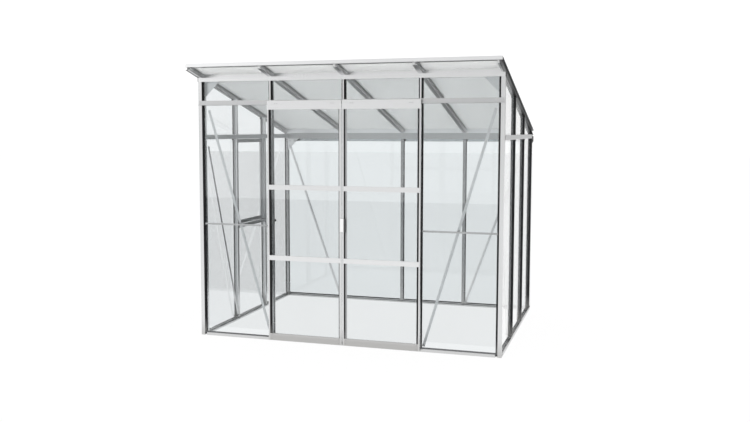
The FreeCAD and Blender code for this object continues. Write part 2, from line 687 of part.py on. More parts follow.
# ---------------------------------------------------------------- sliding door leaves
class Leaf:
    """A door leaf hung in front of the wall; side is -1 for the left leaf, 1 for the right."""

    def __init__(self, name, side):
        self.name = name
        outer = "(pitch + leaf_overlap)"
        self.low, self.high = (f"(-{outer})", "(-leaf_meet)") if side < 0 else ("leaf_meet", outer)
        self.back = "(-leaf_gap)"
        glass_front = f"({LEAF_FACE} + leaf_glass_inset)"
        self.glass = (glass_front, f"({glass_front} + glass_thick)")

    def stile(self, at_low_end):
        """An upright of the leaf: an outer rib and the seat behind the glass."""
        edge = self.low if at_low_end else self.high
        sign = "+" if at_low_end else "-"
        rib = (edge, f"({edge} {sign} leaf_rib)")
        seat = (edge, f"({edge} {sign} leaf_seat)")
        if not at_low_end:
            rib, seat = rib[::-1], seat[::-1]
        height = ("leaf_bottom", HEADER_BOTTOM)
        return fused([
            block(rib, (LEAF_FACE, self.back), height),
            block(seat, (self.glass[1], self.back), height),
        ])

    def rail(self, bottom, top):
        """A cross rail between the outer ribs, in front of the stile's seat."""
        along = (f"({self.low} + leaf_rib)", f"({self.high} - leaf_rib)")
        return block(along, (LEAF_FACE, self.glass[1]), (bottom, top))

    def bays(self):
        """Low and high Z of the three panes."""
        return (
            ("leaf_bottom + bottom_rail", "lower_rail_at"),
            ("lower_rail_at + mid_rail", "upper_rail_at"),
            ("upper_rail_at + mid_rail", HEADER_BOTTOM),
        )

    def build(self):
        """All nodes of the leaf."""
        node(f"{self.name}_stiles", [self.stile(True), self.stile(False)])
        node(f"{self.name}_rails", [
            self.rail("leaf_bottom", "leaf_bottom + bottom_rail"),
            self.rail("lower_rail_at", "lower_rail_at + mid_rail"),
            self.rail("upper_rail_at", "upper_rail_at + mid_rail"),
        ])
        whole = (self.low, self.high)
        node(f"{self.name}_header", [fused([
            block(whole, (HEADER_FACE, HEADER_INNER),
                  (HEADER_BOTTOM, f"({HEADER_BOTTOM} + header_height)")),
            block(whole, (HEADER_FACE, self.back),
                  (HEADER_BOTTOM, f"({TRANSOM_BOTTOM} - track_clearance)")),
        ])])
        low, high = f"({self.low} + leaf_rib)", f"({self.high} - leaf_rib)"
        foot = (f"({self.glass[0]} - seal_foot)", self.glass[0])
        lip = (f"({LEAF_FACE} + seal_drop)", self.glass[0])
        panes, seals = [], []
        for height in self.bays():
            panes.append(block((f"({low} + glass_gap)", f"({high} - glass_gap)"), self.glass, height))
            seals.append(fused([block((low, f"({low} + seal_width)"), foot, height),
                                block((low, f"({low} + seal_lip)"), lip, height)]))
            seals.append(fused([block((f"({high} - seal_width)", high), foot, height),
                                block((f"({high} - seal_lip)", high), lip, height)]))
        node(f"{self.name}_glass", panes)
        node(f"{self.name}_seals", seals)
        node(f"{self.name}_rollers", [self.roller(f"({self.low} + roller_inset)"),
                                      self.roller(f"({self.high} - roller_inset)")])

    def roller(self, x):
        """A grooved wheel on a stub axle behind the header plate."""
        wheel = doc.addObject("Part::Cylinder", "Wheel")
        axle = doc.addObject("Part::Cylinder", "Axle")
        level = f"({TRANSOM_BOTTOM} + track_lip + roller_gap + roller_diameter / 2)"
        for part, radius, length, start in (
            (wheel, "roller_diameter / 2", "roller_width", f"({HEADER_INNER} + roller_stand_off)"),
            (axle, "axle_diameter / 2", "roller_stand_off + roller_width / 2", HEADER_INNER),
        ):
            part.Placement.Rotation = FreeCAD.Rotation(FreeCAD.Vector(1, 0, 0), -90)
            bind(part, Radius=radius, Height=length, Placement__Base__x=x,
                 Placement__Base__y=start, Placement__Base__z=level)
        return fused([wheel, axle])


left_leaf, right_leaf = Leaf("left_door", -1), Leaf("right_door", 1)
left_leaf.build()
right_leaf.build()

# The left leaf's handle plate also reaches in front of the right leaf's meeting rib.
# The right leaf has a grip of its own beside that plate, on a foot that passes behind it.
HANDLE_LEVELS = ("handle_at", "handle_at + handle_height")
HANDLE_FRONT = f"({LEAF_FACE} - handle_thick)"
PLATE_X = ("(plate_reach - leaf_meet - plate_width)", "(plate_reach - leaf_meet)")
PLATE_BACK = f"({LEAF_FACE} - grip_base - moving_gap)"
GRIP_X = (f"({PLATE_X[1]} + moving_gap)", f"({PLATE_X[1]} + moving_gap + grip_width)")
node("left_door_handle", [fused([
    block((PLATE_X[0], left_leaf.high), (HANDLE_FRONT, LEAF_FACE), HANDLE_LEVELS),
    block(PLATE_X, (HANDLE_FRONT, PLATE_BACK), HANDLE_LEVELS),
])])
node("right_door_handle", [fused([
    block((right_leaf.low, GRIP_X[1]), (f"({LEAF_FACE} - grip_base)", LEAF_FACE), HANDLE_LEVELS),
    block(GRIP_X, (HANDLE_FRONT, LEAF_FACE), HANDLE_LEVELS),
])])


# ---------------------------------------------------------------- check and write
doc.recompute()
for thing in doc.Objects:
    if "Invalid" in thing.State or "Error" in thing.State:
        raise RuntimeError(f"{thing.Name} did not compute: {thing.State}")
for part in NODES:
    if part.Shape.isNull() or not part.Shape.isValid() or part.Shape.Volume <= 0:
        raise RuntimeError(f"{part.Label} has no valid solid")

os.makedirs("parts", exist_ok=True)
for part in NODES:
    part.Shape.exportStep(f"parts/{part.Label}.step")
    print(f"{part.Label}: {len(part.Shape.Solids)} solids, {part.Shape.Volume / 1e6:.2f} litres")
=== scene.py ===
"""Looks of a pent-roof aluminium greenhouse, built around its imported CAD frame.

Each sub-assembly is a class that dresses the CAD nodes it owns, or builds finer pieces that
stand for them.  Everything is in metres in the part's frame: X along the door wall, Y from
the door wall to the rear wall, Z up.
"""

import enum
import logging
import math
from dataclasses import dataclass

import bmesh
import bpy
from mathutils import Matrix, Vector


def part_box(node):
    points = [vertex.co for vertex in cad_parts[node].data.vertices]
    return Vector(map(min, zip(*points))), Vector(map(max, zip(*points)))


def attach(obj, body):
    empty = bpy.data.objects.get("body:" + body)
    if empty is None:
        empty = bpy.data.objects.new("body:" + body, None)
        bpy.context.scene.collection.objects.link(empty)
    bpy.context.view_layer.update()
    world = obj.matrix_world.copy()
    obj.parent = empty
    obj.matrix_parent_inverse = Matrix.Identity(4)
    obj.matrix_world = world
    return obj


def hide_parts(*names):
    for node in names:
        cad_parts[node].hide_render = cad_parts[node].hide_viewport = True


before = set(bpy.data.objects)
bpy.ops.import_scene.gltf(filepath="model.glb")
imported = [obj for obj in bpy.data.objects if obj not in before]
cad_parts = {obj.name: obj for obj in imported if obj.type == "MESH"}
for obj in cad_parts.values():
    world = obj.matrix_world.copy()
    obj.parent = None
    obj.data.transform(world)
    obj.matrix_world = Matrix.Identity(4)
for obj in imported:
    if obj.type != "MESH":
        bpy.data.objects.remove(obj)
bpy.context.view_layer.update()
log = logging.getLogger("greenhouse")


# ------------------------------------------------------------------ node trees
class Graph:
    """A node tree under construction."""

    def __init__(self, tree: bpy.types.NodeTree) -> None:
        """Wrap a tree.

        Args:
            tree: The shader or geometry tree that nodes are added to.
        """
        self.tree = tree

    def add(self, kind: str, inputs: dict | None = None, **settings) -> bpy.types.Node:
        """Add a node and fill its inputs.

        Args:
            kind: The node's type name.
            inputs: Input names or numbers, each with a value or a socket to link.
            **settings: Properties of the node itself.

        Returns:
            The new node.
        """
        node = self.tree.nodes.new(kind)
        for key, value in settings.items():
            setattr(node, key, value)
        for key, value in (inputs or {}).items():
            if isinstance(value, bpy.types.NodeSocket):
                self.tree.links.new(value, node.inputs[key])
            else:
                node.inputs[key].default_value = value
        return node

    def math(self, operation: str, *values) -> bpy.types.NodeSocket:
        """Add a Math node and return its result socket.

        Args:
            operation: The Math node's operation.
            *values: Numbers or sockets, in order.
        """
        node = self.add("ShaderNodeMath", dict(enumerate(values)), operation=operation)
        return node.outputs[0]

    def split(self, vector: bpy.types.NodeSocket) -> dict[str, bpy.types.NodeSocket]:
        """The X, Y and Z of a vector, by name."""
        return dict(self.add("ShaderNodeSeparateXYZ", {0: vector}).outputs.items())

    def place(self) -> dict[str, bpy.types.NodeSocket]:
        """Object coordinates in a shader tree, by name."""
        return self.split(self.add("ShaderNodeTexCoord").outputs["Object"])

    def vector(self, **parts) -> bpy.types.NodeSocket:
        """A vector from numbers or sockets named X, Y and Z."""
        return self.add("ShaderNodeCombineXYZ", parts).outputs[0]

    def move(self, shape: bpy.types.NodeSocket, **parts) -> bpy.types.NodeSocket:
        """Move geometry by a vector given as X, Y and Z."""
        node = self.add("GeometryNodeTransform",
                        {"Geometry": shape, "Translation": self.vector(**parts)})
        return node.outputs[0]

    def mix(self, factor: object, first: object, second: object,
            blend: str = "MIX") -> bpy.types.NodeSocket:
        """Blend two colours.

        Args:
            factor: Share of the second colour.
            first: A colour or a socket.
            second: A colour or a socket.
            blend: The Mix node's blend type.

        Returns:
            The blended colour.
        """
        node = self.add("ShaderNodeMix", {0: factor, 6: first, 7: second},
                        data_type="RGBA", blend_type=blend)
        return node.outputs[2]


def shared_effect(name: str, inputs: dict[str, object], outputs: tuple[str, ...]) -> tuple:
    """Start a shader node group.

    Args:
        name: The group's name.
        inputs: Input names with their default values: a number or three numbers.
        outputs: Names of the values that it puts out.

    Returns:
        The graph, its input node and its output node.
    """
    tree = bpy.data.node_groups.new(name, "ShaderNodeTree")
    for label, value in inputs.items():
        kind = "NodeSocketFloat" if isinstance(value, float) else "NodeSocketVector"
        socket = tree.interface.new_socket(label, in_out="INPUT", socket_type=kind)
        socket.default_value = value
    for label in outputs:
        tree.interface.new_socket(label, in_out="OUTPUT", socket_type="NodeSocketFloat")
    graph = Graph(tree)
    return graph, graph.add("NodeGroupInput"), graph.add("NodeGroupOutput")


def noise_effect(name: str) -> bpy.types.NodeTree:
    """Stretched noise: extrusion lines on metal, mottle on plastic and rubber.

    Args:
        name: The group's name.

    Returns:
        A group with the inputs Scale, Low and High, and the outputs Value and Fine.
    """
    graph, given, result = shared_effect(
        name, {"Scale": (1.0, 1.0, 1.0), "Low": 0.0, "High": 1.0}, ("Value", "Fine"))
    place = graph.add("ShaderNodeTexCoord")
    spread = graph.add("ShaderNodeMapping", {
        "Vector": place.outputs["Object"], "Scale": given.outputs["Scale"]})
    for output, size, detail in (("Value", 1.0, 3.0), ("Fine", 7.0, 1.0)):
        noise = graph.add("ShaderNodeTexNoise", {
            "Vector": spread.outputs[0], "Scale": size, "Detail": detail})
        ranged = graph.add("ShaderNodeMapRange", {
            "Value": noise.outputs["Fac"], "From Min": 0.3, "From Max": 0.7,
            "To Min": given.outputs["Low"], "To Max": given.outputs["High"]})
        graph.tree.links.new(ranged.outputs[0], result.inputs[output])
    return graph.tree


def dust_and_ground_shade_effect() -> bpy.types.NodeTree:
    """Dust that settles on faces that look up, and a grey near the ground that is splashed dust and
    painted contact shade.

    Returns:
        A group with the input Amount and the output Mask.
    """
    graph, given, result = shared_effect("settled_dust_and_ground_shade", {"Amount": 0.3}, ("Mask",))
    place = graph.add("ShaderNodeTexCoord")
    facing = graph.split(graph.add("ShaderNodeNewGeometry").outputs["Normal"])
    upward = graph.math("MAXIMUM", facing["Z"], 0.0)
    # Near the ground: splashed dust and painted contact shade.
    low = graph.add("ShaderNodeMapRange", {
        "Value": graph.split(place.outputs["Object"])["Z"], "From Min": SPLASH_SHADE_FULL,
        "From Max": SPLASH_SHADE_TOP, "To Min": SPLASH_SHADE_GAIN, "To Max": 0.0})
    noise = graph.add("ShaderNodeTexNoise", {
        "Vector": place.outputs["Object"], "Scale": 9.0, "Detail": 5.0, "Roughness": 0.65})
    patch = graph.add("ShaderNodeMapRange", {
        "Value": noise.outputs["Fac"], "From Min": PATCH_START, "From Max": PATCH_FULL})
    where = graph.math("MAXIMUM", graph.math("MULTIPLY", upward, patch.outputs[0]), low.outputs[0])
    mask = graph.math("MINIMUM", graph.math("MULTIPLY", where, given.outputs["Amount"]), DUST_AND_SHADE_MOST)
    graph.tree.links.new(mask, result.inputs["Mask"])
    return graph.tree


# Splashed dust with painted contact shade is thickest up to the first height above the ground and gone
# at the second.
SPLASH_SHADE_FULL, SPLASH_SHADE_TOP, SPLASH_SHADE_GAIN = 0.02, 0.15, 4.0
PATCH_START, PATCH_FULL, DUST_AND_SHADE_MOST = 0.38, 0.7, 0.9
DUST_AND_SHADE_COLOUR = (0.5, 0.495, 0.485, 1.0)
NOISE = noise_effect("fine_grain")
DUST_AND_SHADE_GROUP = dust_and_ground_shade_effect()


class Run(enum.Enum):
    """The way that a profile's extrusion lines run, as noise scales on X, Y and Z."""

    ALONG_X = (2.0, 260.0, 260.0)
    ALONG_Y = (260.0, 2.0, 260.0)
    UPRIGHT = (260.0, 260.0, 2.0)
    EVEN = (70.0, 70.0, 70.0)


# ------------------------------------------------------------------ finishes
@dataclass(frozen=True)
class Finish:
    """A surface finish; each kind builds its own procedural material."""

    name: str
    colour: tuple[float, float, float]
    roughness: float = 0.4
    variation: float = 0.06
    dust_and_shade: float = 0.25
    run: Run = Run.EVEN
    bump: float = 0.1

    def start(self) -> tuple[Graph, bpy.types.Node, bpy.types.Material]:
        """A new material with its graph and Principled shader."""
        made = bpy.data.materials.new(self.name)
        made.use_nodes = True
        graph = Graph(made.node_tree)
        return graph, made.node_tree.nodes["Principled BSDF"], made

    def grain(self, graph: Graph, scale: tuple[float, float, float]) -> bpy.types.Node:
        """Place the shared noise.

        Args:
            graph: The material's graph.
            scale: Noise scales on X, Y and Z.

        Returns:
            The noise node, with the outputs Value and Fine.
        """
        grain = graph.add("ShaderNodeGroup", node_tree=NOISE)
        grain.inputs["Scale"].default_value = scale
        grain.inputs["Low"].default_value = 1.0 - self.variation
        grain.inputs["High"].default_value = 1.0
        return grain

    def surface(self, graph: Graph, shader: bpy.types.Node) -> None:
        """Wire grain, dust with painted ground shade, roughness and bump into a shader.

        Args:
            graph: The material's graph.
            shader: Its Principled shader.
        """
        grain = self.grain(graph, self.run.value)
        shade = graph.mix(1.0, (*self.colour, 1.0), grain.outputs["Value"], "MULTIPLY")
        # The dust mask also paints contact shade near the ground.
        dust_and_shade = graph.add("ShaderNodeGroup", node_tree=DUST_AND_SHADE_GROUP)
        dust_and_shade.inputs["Amount"].default_value = self.dust_and_shade
        dusted_and_shaded = graph.mix(dust_and_shade.outputs["Mask"], self.shade(graph, shade), DUST_AND_SHADE_COLOUR)
        graph.tree.links.new(dusted_and_shaded, shader.inputs["Base Color"])
        rough = graph.math("MULTIPLY_ADD", grain.outputs["Fine"], -0.12, self.roughness + 0.12)
        rough = graph.math("ADD", rough, graph.math("MULTIPLY", dust_and_shade.outputs["Mask"], 0.3))
        graph.tree.links.new(rough, shader.inputs["Roughness"])
        bump = graph.add("ShaderNodeBump", {"Strength": self.bump, "Distance": 0.0005,
                                            "Height": grain.outputs["Fine"]})
        graph.tree.links.new(bump.outputs[0], shader.inputs["Normal"])

    def shade(self, graph: Graph, colour: bpy.types.NodeSocket) -> bpy.types.NodeSocket:
        """Change the colour over the surface; plain finishes keep it."""
        return colour

    def material(self) -> bpy.types.Material:
        """The material, built the first time that it is asked for."""
        found = bpy.data.materials.get(self.name)
        return found or self.build()

    def build(self) -> bpy.types.Material:
        """Build the material."""
        graph, shader, made = self.start()
        self.surface(graph, shader)
        return made


@dataclass(frozen=True)
class Metal(Finish):
    """Extruded aluminium with fine die lines."""

    def build(self) -> bpy.types.Material:
        """Build the material as metal."""
        graph, shader, made = self.start()
        shader.inputs["Metallic"].default_value = 1.0
        self.surface(graph, shader)
        return made


@dataclass(frozen=True)
class PaintedShadeStep(Metal):
    """Aluminium whose colour is scaled past a line on one axis, on both sides of the house: painted
    shade where it darkens, a painted lighter strip where it brightens.
    """

    beyond: float = 0.1
    line: float = 1.283
    axis: str = "X"

    def shade(self, graph: Graph, colour: bpy.types.NodeSocket) -> bpy.types.NodeSocket:
        """Scale the colour beyond the line: painted shade where the scale is below one.

        Args:
            graph: The material's graph.
            colour: The metal's colour.
        """
        past = graph.math("GREATER_THAN", graph.math("ABSOLUTE", graph.place()[self.axis]), self.line)
        level = graph.add("ShaderNodeMapRange", {"Value": past, "To Min": 1.0, "To Max": self.beyond})
        return graph.mix(1.0, colour, level.outputs[0], "MULTIPLY")


@dataclass(frozen=True)
class Rubber(Finish):
    """Soft black sealing profile with a dusty bloom."""

    def build(self) -> bpy.types.Material:
        """Build the material with a slight sheen."""
        graph, shader, made = self.start()
        shader.inputs["Specular IOR Level"].default_value = 0.3
        shader.inputs["Sheen Weight"].default_value = 0.05
        self.surface(graph, shader)
        return made


@dataclass(frozen=True)
class BareBead(Rubber):
    """Black seals but for the meeting stile's bead, which is plain grey."""

    bead_line: float = -0.04
    grey: tuple[float, float, float] = (0.6, 0.605, 0.61)

    def shade(self, graph: Graph, colour: bpy.types.NodeSocket) -> bpy.types.NodeSocket:
        """Turn the bead at the meeting stile grey.

        Args:
            graph: The material's graph.
            colour: The rubber's colour.
        """
        beyond = graph.math("GREATER_THAN", graph.place()["X"], self.bead_line)
        return graph.mix(beyond, colour, (*self.grey, 1.0))


@dataclass(frozen=True)
class Pane(Finish):
    """Clear float glass that lets lamps through, with a faint uneven tint."""

    waves: tuple[float, float, float] = (1.1, 1.1, 0.8)

    def build(self) -> bpy.types.Material:
        """Build glass: a transmitting shader, clear to rays from lamps."""
        graph, shader, made = self.start()
        shader.inputs["Transmission Weight"].default_value = 1.0
        shader.inputs["IOR"].default_value = 1.48
        tint = self.grain(graph, self.waves)
        shade = graph.mix(1.0, (*self.colour, 1.0), tint.outputs["Value"], "MULTIPLY")
        graph.tree.links.new(shade, shader.inputs["Base Color"])
        shader.inputs["Roughness"].default_value = 0.0
        clear = graph.add("ShaderNodeBsdfTransparent", {"Color": (0.98, 0.985, 0.985, 1.0)})
        path = graph.add("ShaderNodeLightPath")
        mixed = graph.add("ShaderNodeMixShader", {
            0: path.outputs["Is Shadow Ray"], 1: shader.outputs[0], 2: clear.outputs[0]})
        target = made.node_tree.nodes["Material Output"]
        graph.tree.links.new(mixed.outputs[0], target.inputs["Surface"])
        return made


@dataclass(frozen=True)
class MilkySheet(Finish):
    """Translucent twin-wall roof sheet."""

    passes: float = 0.6

    def build(self) -> bpy.types.Material:
        """Build a sheet that scatters the light that it lets through."""
        graph, shader, made = self.start()
        shader.inputs["Transmission Weight"].default_value = self.passes
        shader.inputs["IOR"].default_value = 1.17
        self.surface(graph, shader)
        return made


def pane_mirror(graph: Graph) -> tuple[bpy.types.NodeSocket, bpy.types.NodeSocket]:
    """Masks of rays that a pane has mirrored: outside, and inside before they left the house.

    Args:
        graph: The graph of the floor or the sky.
    """
    path = graph.add("ShaderNodeLightPath")
    once = graph.math("MINIMUM", path.outputs["Glossy Depth"], 1.0)
    sharp = graph.math("MULTIPLY", path.outputs["Is Singular Ray"], once)
    two_panes = graph.math("COMPARE", path.outputs["Transmission Depth"], 4.0, 0.5)
    deep = graph.math("GREATER_THAN", path.outputs["Transmission Depth"], 3.5)
    outside = graph.math("MULTIPLY", sharp, graph.math("SUBTRACT", 1.0, two_panes))
    return outside, graph.math("MULTIPLY", sharp, deep)


@dataclass(frozen=True)
class StudioFloor(Finish):
    """The pale studio floor: glows a little, and is dim where glass mirrors it."""

    mirrored: float = 0.05
    glow: float = 0.965
    ahead: float = -1.2
    behind: float = 1.2

    def build(self) -> bpy.types.Material:
        """Build the floor's material."""
        graph, shader, made = self.start()
        self.surface(graph, shader)
        shader.inputs["Emission Color"].default_value = (1.0, 1.0, 1.0, 1.0)
        shader.inputs["Emission Strength"].default_value = self.glow
        shader.inputs["Specular IOR Level"].default_value = 0.0
        shader.inputs["IOR"].default_value = 1.0
        dim = graph.add("ShaderNodeEmission", {"Strength": self.mirrored})
        depth = graph.place()["Y"]
        outside, inside = pane_mirror(graph)
        ahead = graph.math("LESS_THAN", depth, self.ahead)
        behind = graph.math("GREATER_THAN", depth, self.behind)
        bounced = graph.math("ADD", graph.math("MULTIPLY", outside, ahead),
                             graph.math("MULTIPLY", inside, behind))
        mixed = graph.add("ShaderNodeMixShader", {0: bounced, 1: shader.outputs[0], 2: dim.outputs[0]})
        target = made.node_tree.nodes["Material Output"]
        graph.tree.links.new(mixed.outputs[0], target.inputs["Surface"])
        return made


class Stock:
    """The finishes: name, colour, roughness, variation, dust with painted ground shade, and run of the
    die lines.
    """

    # Uprights and stiles; those past the rear line are darker: painted shade.
    POST_REAR_SHADED = PaintedShadeStep("aluminium_upright_rear_shaded", (0.76, 0.765, 0.77), 0.26, 0.05, 0.15, Run.UPRIGHT,
                   beyond=0.55, line=0.95, axis="Y")
    RAIL = Metal("aluminium_along_x", (0.82, 0.825, 0.83), 0.26, 0.05, 0.28, Run.ALONG_X)
    FASCIA = Metal("aluminium_fascia", (0.74, 0.745, 0.75), 0.3, 0.04, 0.15, Run.ALONG_X)
    # Side bars, near black past the outer line: painted shade.
    GABLE_BAR_SHADED = PaintedShadeStep("aluminium_gable_bar_outer_shaded", (0.8, 0.805, 0.81), 0.3, 0.05, 0.2, Run.UPRIGHT)
    # A darker copy of the rail aluminium: painted shade.
    TRACK_SHADED = Metal("aluminium_track_shaded", (0.62, 0.625, 0.63), 0.3, 0.05, 0.2, Run.ALONG_X)
    SIDE_RAIL = Metal("aluminium_along_y", (0.8, 0.805, 0.81), 0.28, 0.05, 0.25, Run.ALONG_Y)
    # A darker copy of the aluminium: painted shade on the rafters.
    RAFTER_SHADED = Metal("aluminium_rafter_shaded", (0.6, 0.605, 0.61), 0.3, 0.05, 0.2, Run.ALONG_Y)
    # A darker copy of the aluminium, darker still past the outer line: painted shade.
    EDGE_BAR_SHADED = PaintedShadeStep("aluminium_roof_edge_shaded", (0.58, 0.585, 0.59), 0.3, 0.05, 0.2, Run.ALONG_Y,
                       beyond=0.25)
    # A darker copy of the aluminium as painted shade; above the line its top is painted lighter to look
    # like the roof sheet.
    REAR_BEAM_SHADED = PaintedShadeStep("aluminium_rear_beam_shaded", (0.56, 0.565, 0.57), 0.3, 0.05, 0.15, Run.ALONG_X,
                        beyond=1.65, line=1.746, axis="Z")
    PLATE = Metal("aluminium_plate", (0.76, 0.765, 0.77), 0.32, 0.05, 0.08, Run.EVEN)
    VENT = Metal("aluminium_vent", (0.6, 0.605, 0.61), 0.32, 0.05, 0.1, Run.EVEN)
    BOLT = Metal("zinc_bolt", (0.62, 0.63, 0.65), 0.38, 0.15, 0.2, Run.EVEN)
    SEAL = Rubber("black_rubber", (0.018, 0.018, 0.02), 0.62, 0.3, 0.12)
    MEETING_SEAL = BareBead("black_rubber_grey_bead", (0.018, 0.018, 0.02), 0.62, 0.3, 0.12)
    GASKET = Rubber("grey_gasket", (0.15, 0.153, 0.158), 0.55, 0.15, 0.0)
    BEAD = Rubber("pale_bead", (0.34, 0.345, 0.35), 0.5, 0.1, 0.0)
    GLASS = Pane("float_glass", (0.88, 0.903, 0.91), 0.0, 0.02, 0.0)
    # A clearer copy of the float glass, so that what shows through the side walls is lighter: painted
    # light.
    GABLE_GLASS_LIT = Pane("float_glass_gable_lit", (0.985, 0.99, 0.995), 0.0, 0.02, 0.0)
    SHEET = MilkySheet("twin_wall_sheet", (0.97, 0.98, 0.975), 0.35, 0.03, 0.05, Run.ALONG_Y)
    CAP = Finish("black_cap", (0.02, 0.02, 0.021), 0.5, 0.25, 0.15)
    GRIP = Finish("dark_grip", (0.07, 0.07, 0.072), 0.45, 0.2, 0.1)
    WHITE = Finish("satin_white", (0.82, 0.82, 0.82), 0.35, 0.04, 0.1)
    NYLON = Finish("white_nylon", (0.78, 0.78, 0.76), 0.5, 0.06, 0.1)
    SEAM = Finish("grey_seam", (0.35, 0.36, 0.365), 0.4, 0.06, 0.1, Run.ALONG_X)
    FLOOR = StudioFloor("pale_floor", (0.035, 0.035, 0.035), 0.2, 0.01, 0.0, Run.EVEN, 0.0)
    PIPE = Finish("grey_pipe", (0.3, 0.31, 0.32), 0.45, 0.08, 0.2, Run.UPRIGHT)


def dress(finish: Finish, *nodes: str) -> None:
    """Give CAD nodes a finish.

    Args:
        finish: The finish.
        *nodes: Names of CAD nodes, which keep their mesh.
    """
    for name in nodes:
        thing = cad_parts[name]
        thing.data.materials.clear()
        thing.data.materials.append(finish.material())
        log.info("dressed %s as %s", name, finish.name)


def as_object(name: str, data: bpy.types.ID) -> bpy.types.Object:
    """An object in the scene for a mesh, camera or lamp, at the origin."""
    made = bpy.data.objects.new(name, data)
    bpy.context.scene.collection.objects.link(made)
    return made


# ------------------------------------------------------------------ mesh tools
Outline = list[tuple[float, float]]


class Shape:
    """A mesh under construction, made of closed solids."""

    def __init__(self) -> None:
        """Start with no faces."""
        self.mesh = bmesh.new()

    def box(self, low: Vector, high: Vector, bevel: float = 0.0) -> None:
        """Add a block with eased edges.

        Args:
            low: Lowest corner.
            high: Highest corner.
            bevel: Width of the chamfer on its edges, 0 for none.
        """
        made = bmesh.ops.create_cube(self.mesh, size=1.0)
        size, middle = Vector(high) - Vector(low), (Vector(high) + Vector(low)) / 2
        for vertex in made["verts"]:
            vertex.co = Vector(a * b for a, b in zip(vertex.co, size)) + middle
        if bevel:
            edges = list({edge for vertex in made["verts"] for edge in vertex.link_edges})
            bmesh.ops.bevel(self.mesh, geom=edges, offset=bevel, segments=2, affect="EDGES")

    def sweep(self, outline: Outline, start: float, end: float, place: Matrix) -> None:
        """Add a straight extrusion with capped ends.

        Args:
            outline: Points of the section, anticlockwise, on the local X and Y axes.
            start: Where the run starts along the local Z axis.
            end: Where it ends.
            place: Puts the local axes in the part's frame.
        """
        rings = [[self.mesh.verts.new(place @ Vector((x, y, z))) for x, y in outline]
                 for z in (start, end)]
        count = len(outline)
        for here in range(count):
            there = (here + 1) % count
            self.mesh.faces.new((rings[0][here], rings[0][there], rings[1][there], rings[1][here]))
        self.mesh.faces.new(rings[0][::-1])
        self.mesh.faces.new(rings[1])

    def turn(self, outline: Outline, place: Matrix, steps: int = 24) -> None:
        """Add a turned solid.

        Args:
            outline: Radius and height pairs from the lower pole to the upper pole.
            place: Puts the local Z axis, which it turns about, in the part's frame.
            steps: Facets around it.
        """
        rings = []
        for radius, height in outline:
            if radius == 0:
                rings.append([self.mesh.verts.new(place @ Vector((0, 0, height)))] * steps)
                continue
            rings.append([self.mesh.verts.new(place @ Vector((
                radius * math.cos(math.tau * step / steps),
                radius * math.sin(math.tau * step / steps), height))) for step in range(steps)])
        for lower, upper in zip(rings, rings[1:]):
            for here in range(steps):
                there = (here + 1) % steps
                corners = dict.fromkeys((lower[here], lower[there], upper[there], upper[here]))
                if len(corners) > 2:
                    self.mesh.faces.new(tuple(corners))

    def soften(self, width: float, segments: int = 2) -> None:
        """Round every sharp edge made so far.

        Args:
            width: Width of the rounding.
            segments: Facets across it.
        """
        sharp = [edge for edge in self.mesh.edges if edge.calc_face_angle(0.0) > 0.6]
        bmesh.ops.bevel(self.mesh, geom=sharp, offset=width, segments=segments,
                        profile=0.5, affect="EDGES", clamp_overlap=True)

    def finish(self, name: str, finish: Finish) -> bpy.types.Object:
        """Close the mesh and make it an object.

        Args:
            name: The piece's name.
            finish: The finish on all of it.

        Returns:
            An object at the origin.
        """
        bmesh.ops.recalc_face_normals(self.mesh, faces=self.mesh.faces)
        data = bpy.data.meshes.new(name)
        self.mesh.to_mesh(data)
        self.mesh.free()
        data.materials.append(finish.material())
        return as_object(name, data)


def mount(piece: bpy.types.Object, body: str = "root", stands_for: tuple = ()) -> None:
    """Fix a finished piece to a body.

    Args:
        piece: The piece, at the origin.
        body: The CAD body that it moves with.
        stands_for: CAD nodes that it hides.
    """
    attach(piece, body)
    if stands_for:
        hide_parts(*stands_for)
    log.info("made %s: %d faces on %s", piece.name, len(piece.data.polygons), body)


# ------------------------------------------------------------------ geometry trees
def geometry_tree(name: str, inputs: dict[str, object]) -> tuple:
    """Start a geometry tree with named inputs.

    Args:
        name: The tree's name.
        inputs: Input names with default values: numbers, whole numbers or materials.

    Returns:
        The graph, its input node and its output node.
    """
    kinds = {float: "NodeSocketFloat", int: "NodeSocketInt", type(None): "NodeSocketMaterial",
             tuple: "NodeSocketVector"}
    tree = bpy.data.node_groups.new(name, "GeometryNodeTree")
    tree.interface.new_socket("Geometry", in_out="INPUT", socket_type="NodeSocketGeometry")
    for label, value in inputs.items():
        socket = tree.interface.new_socket(label, in_out="INPUT", socket_type=kinds[type(value)])
        if value is not None:
            socket.default_value = value
    tree.interface.new_socket("Geometry", in_out="OUTPUT", socket_type="NodeSocketGeometry")
    graph = Graph(tree)
    return graph, graph.add("NodeGroupInput"), graph.add("NodeGroupOutput")


def close_tree(graph: Graph, shape: bpy.types.NodeSocket, given: bpy.types.Node,
               result: bpy.types.Node) -> bpy.types.NodeTree:
    """End a tree in Realize Instances and Set Material.

    Args:
        graph: The tree's graph.
        shape: The geometry to put out.
        given: The tree's input node, which has a Material output.
        result: The tree's output node.

    Returns:
        The finished tree.
    """
    real = graph.add("GeometryNodeRealizeInstances", {0: shape})
    coloured = graph.add("GeometryNodeSetMaterial", {
        "Geometry": real.outputs[0], "Material": given.outputs["Material"]})
    graph.tree.links.new(coloured.outputs[0], result.inputs[0])
    return graph.tree


